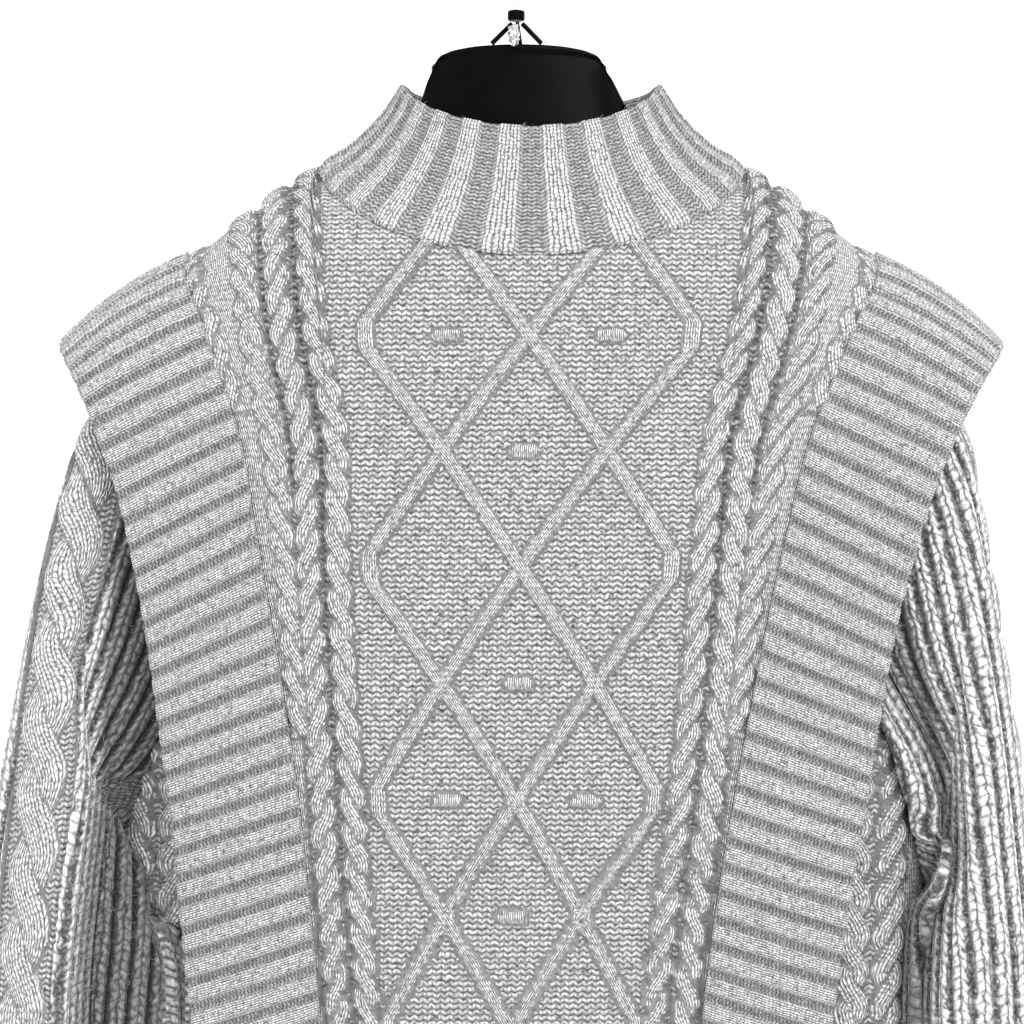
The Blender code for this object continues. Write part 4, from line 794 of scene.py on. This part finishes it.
def sleeve_relief(side, girth, along, middle, shadow):
    """Fisherman's ribs all round, and the wide cable down the outer line."""
    relief = Relief(girth / SLEEVE_RIB_PITCH, along / SLEEVE_COURSE)
    rib, off = np.floor(relief.u), relief.u % 1 - 0.5
    relief.u = rib + 0.5 + np.clip(off / SLEEVE_KNIT_SHARE, -0.5, 0.5)
    wave = 1 - unit(np.abs(off) / 0.5) ** 2.2
    relief.high = SLEEVE_RIB_HIGH * wave
    relief.kind[:] = 1.0
    # Painted shade in the grooves between the ribs, and holes along them, sunk a little and painted
    # dark.
    relief.deep = 1.5 * unit((np.abs(off) - 0.32) / 0.12)
    relief.hole = 0.55 * unit((np.abs(off) - 0.36) / 0.10) * pointed(relief.v)
    off = girth - middle
    panel_half = SLEEVE_CABLE_HALF + SLEEVE_PANEL_EDGE
    relief.instead(np.abs(off) < panel_half, high=0.0, kind=0.0, deep=0.0, hole=0.0,
                   u=off / PURL_WALE, v=along / PURL_COURSE)
    rope(relief, off, along, SLEEVE_CABLE_HALF, SLEEVE_CABLE_HIGH, SLEEVE_CABLE_PITCH, -side,
         True, 5)
    # Holes along the edges of the cable's purl ground, sunk a little and painted dark.
    edge = unit(1 - np.abs(np.abs(off) - panel_half + 0.001) / 0.0014)
    relief.hole += 0.7 * edge * unit(pointed(along / SLEEVE_LADDER_PITCH) * 1.5 - 0.35)
    relief.high = relief.high - SLEEVE_HOLE_DEPTH * relief.hole
    # The painted shadow of the fold, crease and gap joins the painted shade.
    relief.deep = np.maximum(relief.deep, 0) * (1 - 0.5 * shadow) + 2.15 * shadow
    return relief


def band_track(side):
    """The band's seam and outer edge from the front's end over the shoulder to the back's."""
    top = LINES.rows[-2, 1]
    for _ in range(6):
        crest = float(shoulder_z(top) + ROLL_RISE)
        top = float(LINES("band_seam", crest))
    down = crest + (BAND_END_Z - crest) * np.linspace(0, 1, 400) ** 1.3

    def ends(face):
        flat_x = to_flat(side * LINES("band_seam", down), down)
        lift = BAND_LIFT + CREST_LIFT * unit((down + 0.27) / 0.08)
        seam = body_point(face, flat_x, down) + lift[:, None] * body_normal(face, flat_x, down)
        y = BAND_EDGE("y_front" if face < 0 else "y_back", down)
        outer = np.stack([BODY("middle", down) + side * BAND_EDGE("x", down), y,
                          BAND_EDGE("z", down)], axis=-1)
        return seam, outer

    front, back = ends(-1), ends(1)
    seam = np.vstack([front[0][::-1], back[0][1:]])
    outer = np.vstack([front[1][::-1], back[1][1:]])
    steps = np.linalg.norm(np.diff((seam + outer) / 2, axis=0), axis=1)
    return np.concatenate([[0], np.cumsum(steps)]), seam, outer


def band_grid(side, step):
    """Points of a band, bowed between its seam and its outer edge, with places and length."""
    length, seam, outer = band_track(side)
    rise = np.cross(outer - seam, np.gradient(seam + outer, axis=0)) * side
    rise /= np.linalg.norm(rise, axis=1, keepdims=True)
    along = between(0, length[-1], step)
    across = between(0, BAND_WIDTH, step * 1.35)
    inner, edge, up = (np.stack([np.interp(along, length, line[:, axis]) for axis in range(3)],
                                axis=-1)[:, None] for line in (seam, outer, rise))
    share = (across / BAND_WIDTH)[None, :, None]
    near = unit(1 - np.abs(along - length[-1] / 2) / BAND_BOW_REACH)
    bow = (BAND_BOW * (0.35 + 0.65 * near))[:, None, None]
    points = inner + share * (edge - inner) + bow * 4 * share * (1 - share) * up
    return points, *np.meshgrid(along, across, indexing="ij"), length[-1]


def band_relief(along, across, total):
    """Knit wales, and purl ones between them, in ribs that run across the band."""
    ribs = along / (total / round(total / BAND_RIB_PITCH))
    rise = rib_share(ribs, 0.36, 0.13)
    relief = Relief(ribs * BAND_RIB_WALES, across / FINE_COURSE)
    relief.high = BAND_RIB_HIGH * np.sin(rise * math.pi / 2)
    relief.kind = unit(rise * 2 - 0.4)
    # Painted shade in the purl hollows between the ribs.
    relief.deep = 1 - rise
    return relief


def collar_relief(turn, rise):
    """Three knit and three purl wales in each rib."""
    relief = Relief(turn * COLLAR_RIBS * 6, rise * COLLAR_TALL / FINE_COURSE)
    step = rib_share(turn * COLLAR_RIBS, 0.30, 0.09)
    lower_at_rim = unit((1 - rise) / 0.03 + 0.75)
    relief.high = COLLAR_RIB_HIGH * np.sin(step * math.pi / 2) * lower_at_rim
    relief.kind = unit(step * 2 - 0.4)
    # Painted shade, lighter than the bands', in the purl hollows between the ribs.
    relief.deep = 0.7 * (1 - step)
    return relief


# ------------------------------------------------------------ materials
def linear(hex_colour):
    """The linear colour of an sRGB hex string."""
    parts = [int(hex_colour[i:i + 2], 16) / 255 for i in (0, 2, 4)]
    return tuple(p / 12.92 if p <= 0.04045 else ((p + 0.055) / 1.055) ** 2.4 for p in parts) + (1.0,)


def node(tree, kind, settings=None, **inputs):
    """Adds a node. An input's value is a number, a colour or another node's output."""
    made = tree.nodes.new(kind)
    for word, value in (settings or {}).items():
        setattr(made, word, value)
    for word, value in inputs.items():
        key = int(word[1:]) if word[1:].isdigit() else word.replace("_", " ")
        if isinstance(value, bpy.types.NodeSocket):
            tree.links.new(value, made.inputs[key])
        else:
            made.inputs[key].default_value = value
    return made


def sums(tree, operation, *values):
    """A math node's output, from one to three numbers or outputs."""
    inputs = {"_" + str(k): value for k, value in enumerate(values)}
    return node(tree, "ShaderNodeMath", {"operation": operation}, **inputs).outputs[0]


def off_middle(tree, value):
    """0 in the middle between 0 and 1, and 1 at both ends."""
    return sums(tree, "ABSOLUTE", sums(tree, "MULTIPLY_ADD", value, 2.0, -1.0))


def rounded(tree, value, power):
    """1 where the value is 0, falling in a round to 0 where it is 1."""
    return sums(tree, "SUBTRACT", 1.0, sums(tree, "POWER", value, power))


def noise(tree, scale, detail, roughness=0.5):
    """Noise in the object's own space."""
    where = node(tree, "ShaderNodeTexCoord").outputs["Object"]
    return node(tree, "ShaderNodeTexNoise", Vector=where, Scale=scale, Detail=detail,
                Roughness=roughness).outputs[0]


def ramp(tree, value, *stops):
    """Tones for a value, each stop a place and an sRGB hex string or a linear colour."""
    made = node(tree, "ShaderNodeValToRGB", Fac=value)
    points = made.color_ramp.elements
    for _ in range(len(stops) - 2):
        points.new(0.5)
    for point, (at, colour) in zip(points, stops):
        point.position = at
        point.color = linear(colour) if isinstance(colour, str) else colour
    return made.outputs[0]


def blank_material(name, constants):
    """A material with a shader that holds the constants, and nothing else."""
    material = bpy.data.materials.new(name)
    material.use_nodes = True
    tree = material.node_tree
    for old in list(tree.nodes):
        tree.nodes.remove(old)
    shader = node(tree, "ShaderNodeBsdfPrincipled")
    for word, value in constants.items():
        shader.inputs[word].default_value = value
    out = node(tree, "ShaderNodeOutputMaterial")
    tree.links.new(shader.outputs[0], out.inputs[0])
    return material, tree, shader


def wool_knit(name, dark, light, marl_size, cavity):
    """Heather-grey marled wool blend: knit Vs and purl waves, thick and thin, a soft halo."""
    material, tree, shader = blank_material(name, {
        "Roughness": 0.92, "Specular IOR Level": 0.25, "Sheen Weight": 0.30,
        "Sheen Roughness": 0.55})
    place = node(tree, "ShaderNodeUVMap", {"uv_map": "stitch"}).outputs[0]
    axes = node(tree, "ShaderNodeSeparateXYZ", Vector=place).outputs
    kind, hole, deep = (node(tree, "ShaderNodeAttribute", {"attribute_name": word}).outputs["Fac"]
                        for word in ("kind", "hole", "deep"))
    sway = sums(tree, "MULTIPLY_ADD", noise(tree, 210.0, 1.0), 0.50, -0.25)
    u, v = (sums(tree, "ADD", axes[k], sway) for k in (0, 1))
    # A knit stitch has two slanting legs. A purl one is a bump that curves over its wale.
    leg = off_middle(tree, sums(tree, "FRACT", u))
    round_leg = rounded(tree, off_middle(tree, leg), 2.2)
    slant = sums(tree, "FRACT", sums(tree, "MULTIPLY_ADD", leg, -0.55, v))
    end = rounded(tree, off_middle(tree, slant), 3.0)
    vees = sums(tree, "MULTIPLY", round_leg, sums(tree, "MULTIPLY_ADD", end, 0.7, 0.3))
    wave = sums(tree, "FRACT", sums(tree, "MULTIPLY_ADD", leg, 0.42, v))
    rows = sums(tree, "MULTIPLY", rounded(tree, off_middle(tree, wave), 1.5),
                sums(tree, "MULTIPLY_ADD", round_leg, 0.45, 0.55))
    height = node(tree, "ShaderNodeMix", {"data_type": "FLOAT"}, Factor=kind, _2=rows,
                  _3=vees).outputs[0]
    # The marl's flecks are drawn out along the yarn: down a knit wale, across a purl row.
    streaks = [node(tree, "ShaderNodeCombineXYZ", X=sums(tree, "MULTIPLY", axes[0], across),
                    Y=sums(tree, "MULTIPLY", axes[1], down)).outputs[0]
               for across, down in ((1.1, 1.6), (2.0, 0.7))]
    along = node(tree, "ShaderNodeMix", {"data_type": "VECTOR"}, Factor=kind,
                 _4=streaks[0], _5=streaks[1]).outputs[1]
    fleck = node(tree, "ShaderNodeTexNoise", Vector=along, Scale=1.0 / marl_size, Detail=3.0,
                 Roughness=0.62).outputs[0]
    marl = sums(tree, "ADD", sums(tree, "MULTIPLY", fleck, 0.55),
                sums(tree, "MULTIPLY", noise(tree, 420.0, 2.0), 0.45))
    yarn = ramp(tree, marl, (0.33, dark), (0.43, "a9aaac"), (0.54, "d6d6d7"), (0.64, light))
    # Painted shade and light: the yarn is darkened between its strands, in holes and where the deep
    # layer paints shade, and knit wales are painted lighter than the purl ground.
    shade = sums(tree, "MULTIPLY_ADD", sums(tree, "POWER", height, 0.9), 1.0 - cavity, cavity)
    for layer, slope, base in ((hole, -0.90, 1.0), (deep, -0.34, 1.0), (kind, 0.30, 0.90)):
        shade = sums(tree, "MULTIPLY", shade, sums(tree, "MULTIPLY_ADD", layer, slope, base))
    colour = node(tree, "ShaderNodeMix", {"data_type": "RGBA", "blend_type": "MULTIPLY"},
                  _0=1.0, _6=yarn, _7=shade).outputs[2]
    relief = sums(tree, "MULTIPLY_ADD", noise(tree, 1500.0, 2.0), 0.16, height)
    bump = node(tree, "ShaderNodeBump", Strength=1.0, Distance=0.0013, Height=relief).outputs[0]
    tree.links.new(colour, shader.inputs["Base Color"])
    tree.links.new(bump, shader.inputs["Normal"])
    return material


def plain_surface(name, tone, grain, stops, rough, bump, constants):
    """A material whose tone and roughness follow one noise, and its bump another.

    rough is the roughness's slope and base, bump is the bump's strength and distance."""
    material, tree, shader = blank_material(name, constants)
    spread = noise(tree, *tone)
    tree.links.new(ramp(tree, spread, *stops), shader.inputs["Base Color"])
    if rough:
        tree.links.new(sums(tree, "MULTIPLY_ADD", spread, *rough), shader.inputs["Roughness"])
    raised = node(tree, "ShaderNodeBump", Strength=bump[0], Distance=bump[1],
                  Height=noise(tree, *grain)).outputs[0]
    tree.links.new(raised, shader.inputs["Normal"])
    return material


def moulded_plastic(name, colour):
    """Black injection-moulded plastic: fine spark-erosion grain, dust and soft rubs."""
    return plain_surface(name, (38.0, 5.0, 0.65), (2200.0, 2.0), ((0.35, colour), (0.80, "060708")),
                         (0.20, 0.22), (0.18, 0.0002), {"Specular IOR Level": 0.03})


def plated_wire(name, colour):
    """Nickel-plated steel wire with fine drawing marks along it."""
    return plain_surface(name, (700.0, 3.0), (700.0, 3.0), ((0.3, "8f9296"), (0.7, colour)),
                         (0.18, 0.12), (0.15, 0.0002), {"Metallic": 1.0})


def loose_wool(name, colour):
    """Single light wool fibres that have worked loose from the yarn."""
    return plain_surface(name, (160.0, 2.0), (160.0, 2.0), ((0.35, "9a9b9d"), (0.65, colour)),
                         (0.20, 0.75), (0.10, 0.0001), {})


def studio_paint(name, colour):
    """Smooth white floor paint with a slight roller texture."""
    return plain_surface(name, (60.0, 3.0), (60.0, 3.0), ((0.2, "fbfbfb"), (0.8, colour)),
                         None, (0.05, 0.001), {"Roughness": 0.9})


# ------------------------------------------------------------ settings
def colour_property(name, description, hex_colour):
    """A colour that the user can change, with an sRGB hex string as its default."""
    return FloatVectorProperty(name=name, description=description, subtype="COLOR", size=4,
                               min=0, max=1, default=linear(hex_colour))


class DressColours(PropertyGroup):
    """Colours of the yarn, the form and the floor"""

    dark: colour_property("Dark fleck", "Darkest strand of the marled yarn", "5a5b5e")
    light: colour_property("Light strand", "Lightest strand of the yarn", "fafafa")
    fibre: colour_property("Loose fibre", "Single fibres that stand off the knit", "f2f2f1")
    plastic: colour_property("Plastic", "Moulded plastic of the torso form", "030304")
    wire: colour_property("Wire", "Plated wire of the hook", "d9dbde")
    foil: colour_property("Foil", "Foil round the form's middle strut", "e4e5e7")
    floor: colour_property("Floor", "Paint of the studio's floor", "f6f6f6")


class DressSizes(PropertyGroup):
    """How finely the pieces are knitted, and how the yarn looks"""

    fine: FloatProperty(name="Front grid", description="Spacing of the front's points",
                        default=0.0020, min=0.001, max=0.01, unit="LENGTH", precision=4)
    plain: FloatProperty(name="Back grid", description="Spacing of the back's points",
                         default=0.0026, min=0.001, max=0.01, unit="LENGTH", precision=4)
    rib: FloatProperty(name="Rib grid", description="Spacing of the points of bands and sleeves",
                       default=0.0017, min=0.001, max=0.01, unit="LENGTH", precision=4)
    marl: FloatProperty(name="Marl", description="Length of the yarn's flecks, in stitches",
                        default=0.9, min=0.2, max=6.0)
    cavity: FloatProperty(name="Cavity", description="Shade between two strands of yarn",
                          default=0.06, min=0.0, max=1.0, subtype="FACTOR")
    fibres: IntProperty(name="Fibres", description="Loose wool fibres that stand off the knit",
                        default=24000, min=0, max=33000)


class DressStudio(PropertyGroup):
    """Light of the studio"""

    key: FloatProperty(name="Key light", description="Power of the large soft light in front",
                       default=36.0, min=0.0, subtype="POWER")
    room: FloatProperty(name="Room", description="Brightness of the white room all round",
                        default=1.35, min=0.0, max=5.0)


# ------------------------------------------------------------ pieces
def knit_material():
    """The knit's one material, made when the first piece asks for it."""
    found = bpy.data.materials.get("heather_grey_marled_knit")
    if found:
        return found
    colours, sizes = bpy.context.scene.dress_colours, bpy.context.scene.dress_sizes
    return wool_knit("heather_grey_marled_knit", colours.dark, colours.light, sizes.marl,
                     sizes.cavity)


def settle(piece, node_name):
    """Fixes a knitted piece in the frame: what it rides on and what it replaces."""
    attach(piece, "root")
    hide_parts(node_name)


def knit_panel(word, face, fine, coarse):
    """Knits the front (face -1) or the back (face 1), which has no lattice."""
    flat_x, flat_z = panel_grid(face, fine, coarse)
    points = body_point(face, flat_x, flat_z)
    relief = front_relief(points[..., 0] - BODY("middle", flat_z), flat_z, face < 0)
    piece = thin_wall("knit_" + word, points, relief, KNIT_WALL, face, False, INSIDE_SKIP,
                      knit_material(), body_normal(face, flat_x, flat_z))
    settle(piece, word)


class DRESS_OT_front(Operator):
    """Knit the front: lattice of cords, bobbles, rope cables and ladders on a purl ground"""

    bl_idname = "dress.front"
    bl_label = "Front"

    def execute(self, context):
        knit_panel("front", -1, context.scene.dress_sizes.fine, 0.006)
        return {"FINISHED"}


class DRESS_OT_back(Operator):
    """Knit the back: the same rope cables, with a plain purl middle"""

    bl_idname = "dress.back"
    bl_label = "Back"

    def execute(self, context):
        knit_panel("back", 1, context.scene.dress_sizes.plain, 0.007)
        return {"FINISHED"}


class DRESS_OT_collar(Operator):
    """Knit the funnel collar in three-and-three rib"""

    bl_idname = "dress.collar"
    bl_label = "Collar"

    def execute(self, context):
        columns = COLLAR_RIBS * COLLAR_RIB_COLUMNS
        turn, rise = np.meshgrid(np.arange(columns) / columns, np.linspace(1, 0, COLLAR_ROWS))
        piece = thin_wall("knit_collar", collar_point(turn, rise), collar_relief(turn, rise),
                          RIB_WALL, -1, True, INSIDE_SKIP, knit_material())
        settle(piece, "collar")
        return {"FINISHED"}


class DRESS_OT_bands(Operator):
    """Knit the two ribbed bands that stand over the shoulders"""

    bl_idname = "dress.bands"
    bl_label = "Shoulder bands"

    def execute(self, context):
        for side, word in ((-1, "left"), (1, "right")):
            points, along, across, total = band_grid(side, context.scene.dress_sizes.rib)
            relief = band_relief(along, across, total)
            piece = thin_wall("knit_band_" + word, points, relief, RIB_WALL, side, False,
                              INSIDE_SKIP, knit_material())
            settle(piece, "shoulder_band_" + word)
        return {"FINISHED"}


class DRESS_OT_sleeves(Operator):
    """Knit the two sleeves: fisherman's rib with a wide cable down the outside"""

    bl_idname = "dress.sleeves"
    bl_label = "Sleeves"

    def execute(self, context):
        for side, word, flat, area in SLEEVE_CUTS:
            points, *places = sleeve_grid(side, context.scene.dress_sizes.rib)
            piece = thin_wall("knit_sleeve_" + word, points, sleeve_relief(side, *places),
                              KNIT_WALL, side, True, INSIDE_SKIP, knit_material())
            settle(piece, "sleeve_" + word)
        return {"FINISHED"}


class DRESS_OT_fibres(Operator):
    """Draw single loose fibres out of the knitting, which soften its outline"""

    bl_idname = "dress.fibres"
    bl_label = "Loose fibres"

    def execute(self, context):
        random = np.random.default_rng(11)
        place, normal = [], []
        for piece in context.scene.objects:
            if "outer_points" not in piece or not piece.name.startswith("knit_"):
                continue
            mesh = piece.data
            points, directions = (np.empty(len(mesh.vertices) * 3) for _ in range(2))
            mesh.vertices.foreach_get("co", points)
            mesh.vertices.foreach_get("normal", directions)
            place.append(points.reshape(-1, 3)[:piece["outer_points"]])
            normal.append(directions.reshape(-1, 3)[:piece["outer_points"]])
        place, normal = np.vstack(place), np.vstack(normal)
        sight = place - np.array(CAMERA_AT)
        sight /= np.linalg.norm(sight, axis=1, keepdims=True)
        edge_on = (1 - np.abs((sight * normal).sum(axis=1))) ** 4 + 0.04
        chosen = random.choice(len(place), context.scene.dress_sizes.fibres, p=edge_on / edge_on.sum())
        root, up = place[chosen], normal[chosen]
        side = np.cross(up, random.normal(size=up.shape))
        side /= np.linalg.norm(side, axis=1, keepdims=True)
        long = FIBRE_LENGTH * random.uniform(0.4, 1.0, size=(len(root), 1))
        lean, curl = random.normal(size=(2, len(root), 1)) * 0.6
        wide = np.cross(up, side) * FIBRE_HALF
        strips = []
        for share in (0.0, 0.35, 0.7, 1.0):
            out = root + long * share * ((0.75 - 0.3 * share) * up + (lean + curl * share) * side)
            strips += [out - wide * (1 - 0.6 * share), out + wide * (1 - 0.6 * share)]
        corners = np.stack(strips, axis=1).reshape(-1, 3)
        first = 8 * np.arange(len(root))[:, None, None]
        quad = np.array([[0, 1, 3, 2], [2, 3, 5, 4], [4, 5, 7, 6]])[None]
        material = loose_wool("loose_wool_fibre", context.scene.dress_colours.fibre)
        piece = mesh_piece("wool_fibres", corners.tolist(),
                           (first + quad).reshape(-1, 4).tolist(), material)
        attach(piece, "root")
        return {"FINISHED"}


def form_neck_point(u, v):
    """The form's neck: u across from -1 to 1, v from the plate's top edge to the root."""
    beta = u * math.pi / 2
    x = FORM_NECK_HALF * np.sin(beta)
    fall = FORM_NECK_DROP * np.abs(np.cos(beta)) ** NECK_CURVE
    z = flat_height(x, shoulder_z(x) - 0.0004 - fall)
    flat_x = to_flat(x, z)
    inset = KNIT_WALL + FORM_CLEAR + 0.0035 * unit((-0.19 - z) / 0.06)
    root = body_point(-1, flat_x, z) - inset[..., None] * body_normal(-1, flat_x, z)
    root[..., 2] += 0.0012 + 0.0018 * np.sin(beta) ** 2
    top = np.stack([PLATE_MIDDLE + PLATE_HALF * u, -0.0200 - 0.004 * np.cos(beta),
                    PLATE("top_z", np.abs(PLATE_HALF * u))], axis=-1)
    share = v[..., None] ** np.array([1.25, 1.0, 1.0])
    return top + share * (root - top)


class DRESS_OT_form(Operator):
    """Mould the form's neck and give the whole form its black plastic"""

    bl_idname = "dress.form"
    bl_label = "Torso form"

    def execute(self, context):
        material = moulded_plastic("black_moulded_plastic", context.scene.dress_colours.plastic)
        u, v = np.meshgrid(np.sin(np.linspace(-1, 1, 81) * math.pi / 2),
                           np.linspace(0, 1, 61) ** 1.4)
        relief = Relief(u, v)
        edge = np.maximum(unit((np.abs(u) - 0.93) / 0.02),
                          unit((0.035 - v) / 0.012)) * unit((0.45 - v) / 0.05)
        relief.high = 0.0020 * np.sin(edge * math.pi / 2)
        piece = thin_wall("moulded_neck", form_neck_point(u, v), relief, FORM_WALL, -1, False, 4,
                          material)
        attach(piece, "root")
        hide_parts("form_neck")
        for name in ("form_torso", "form_knob", "form_strut_left",
                     "form_strut_middle", "form_strut_right"):
            piece = frame["nodes"][name]
            for held in piece.material_slots:
                held.material = material
        return {"FINISHED"}


class DRESS_OT_hook(Operator):
    """Plate the wire hook"""

    bl_idname = "dress.hook"
    bl_label = "Hook"

    def execute(self, context):
        material = plated_wire("nickel_plated_wire", context.scene.dress_colours.wire)
        for held in frame["nodes"]["hook"].material_slots:
            held.material = material
        return {"FINISHED"}


class DRESS_OT_foil(Operator):
    """Crumple the bit of foil round the form's middle strut"""

    bl_idname = "dress.foil"
    bl_label = "Foil on the strut"

    def execute(self, context):
        random = np.random.default_rng(5)
        turns, rises = 16, 14
        turn, rise = np.meshgrid(2 * math.pi * np.arange(turns) / turns, np.linspace(0, 1, rises))
        folds = random.normal(size=turn.shape) * FOIL_CRUMPLE
        radius = FOIL_RADIUS * (1 - 0.35 * (2 * rise - 1) ** 2) + folds
        points = np.stack([FOIL_AT[0] + radius * np.cos(turn), FOIL_AT[1] + radius * np.sin(turn),
                           FOIL_AT[2] + FOIL_TALL * (rise - 0.5) + folds], axis=-1)
        ids = np.arange(turns * rises).reshape(rises, turns)
        right = np.roll(ids, -1, axis=1)
        faces = np.stack([ids[:-1], right[:-1], right[1:], ids[1:]], axis=-1).reshape(-1, 4).tolist()
        faces += [ids[0, ::-1].tolist(), ids[-1].tolist()]
        material = plated_wire("crumpled_aluminium_foil", context.scene.dress_colours.foil)
        piece = mesh_piece("strut_foil", points.reshape(-1, 3).tolist(), faces, material)
        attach(piece, "root")
        return {"FINISHED"}


def soft_light(name, place, aim, size, power):
    """A square area light of that size, turned towards the point it aims at."""
    lamp = bpy.data.lights.new(name, "AREA")
    lamp.shape, lamp.size, lamp.size_y, lamp.energy = "RECTANGLE", size, size, power
    piece = added(name, lamp)
    piece.location = place
    piece.rotation_euler = (Vector(aim) - Vector(place)).to_track_quat("-Z", "Y").to_euler()


class DRESS_OT_studio(Operator):
    """Set up the white room, the pale floor, the soft lights and the camera"""

    bl_idname = "dress.studio"
    bl_label = "Studio"

    def execute(self, context):
        studio = context.scene.dress_studio
        paint = studio_paint("white_floor_paint", context.scene.dress_colours.floor)
        corners = [(x * FLOOR_HALF, y * FLOOR_HALF, FLOOR_Z)
                   for x, y in ((-1, -1), (1, -1), (1, 1), (-1, 1))]
        mesh_piece("floor", corners, [(0, 1, 2, 3)], paint)
        soft_light("key", (0.9, -1.7, 0.9), (0, 0, -0.35), 1.1, studio.key)
        soft_light("fill", (-1.3, -1.9, 0.1), (0, 0, -0.4), 1.6, studio.key * FILL_SHARE)
        room = bpy.data.worlds.new("white_room")
        room.use_nodes = True
        room.node_tree.nodes["Background"].inputs[0].default_value = (1, 1, 1, 1)
        room.node_tree.nodes["Background"].inputs[1].default_value = studio.room
        context.scene.world = room
        lens = bpy.data.cameras.new("camera")
        lens.sensor_fit, lens.sensor_width, lens.angle = "HORIZONTAL", 36.0, CAMERA_ANGLE
        lens.clip_start, lens.clip_end = 0.05, 20.0
        camera = added("camera", lens)
        camera.location = CAMERA_AT
        camera.rotation_euler = (math.pi / 2, 0.0, 0.0)
        context.scene.camera = camera
        context.scene.view_settings.view_transform = "Standard"
        return {"FINISHED"}


class DRESS_PT_panel(Panel):
    """Lists the pieces of the dress and its settings"""

    bl_label = "Sweater dress"
    bl_idname = "DRESS_PT_panel"
    bl_space_type = "VIEW_3D"
    bl_region_type = "UI"
    bl_category = "Sweater dress"

    def draw(self, context):
        layout = self.layout
        for group in (context.scene.dress_colours, context.scene.dress_sizes,
                      context.scene.dress_studio):
            for word in group.bl_rna.properties.keys():
                if word not in ("rna_type", "name"):
                    layout.prop(group, word)
        for made in OPERATORS:
            layout.operator(made.bl_idname)


OPERATORS = (DRESS_OT_studio, DRESS_OT_front, DRESS_OT_back, DRESS_OT_collar, DRESS_OT_bands,
             DRESS_OT_sleeves, DRESS_OT_fibres, DRESS_OT_form, DRESS_OT_hook, DRESS_OT_foil)
GROUPS = (("dress_colours", DressColours), ("dress_sizes", DressSizes),
          ("dress_studio", DressStudio))


def register():
    for made in [group for _, group in GROUPS] + [*OPERATORS, DRESS_PT_panel]:
        bpy.utils.register_class(made)
    for word, group in GROUPS:
        setattr(bpy.types.Scene, word, PointerProperty(type=group))


def unregister():
    for word, _ in GROUPS:
        delattr(bpy.types.Scene, word)
    for made in [DRESS_PT_panel, *OPERATORS[::-1]] + [group for _, group in GROUPS]:
        bpy.utils.unregister_class(made)


def main():
    """Builds the studio and all the pieces."""
    register()
    for piece in bpy.data.objects:
        piece.select_set(False)
    for made in OPERATORS:
        group, word = made.bl_idname.split(".")
        getattr(getattr(bpy.ops, group), word)()


if __name__ == "__main__":
    main()
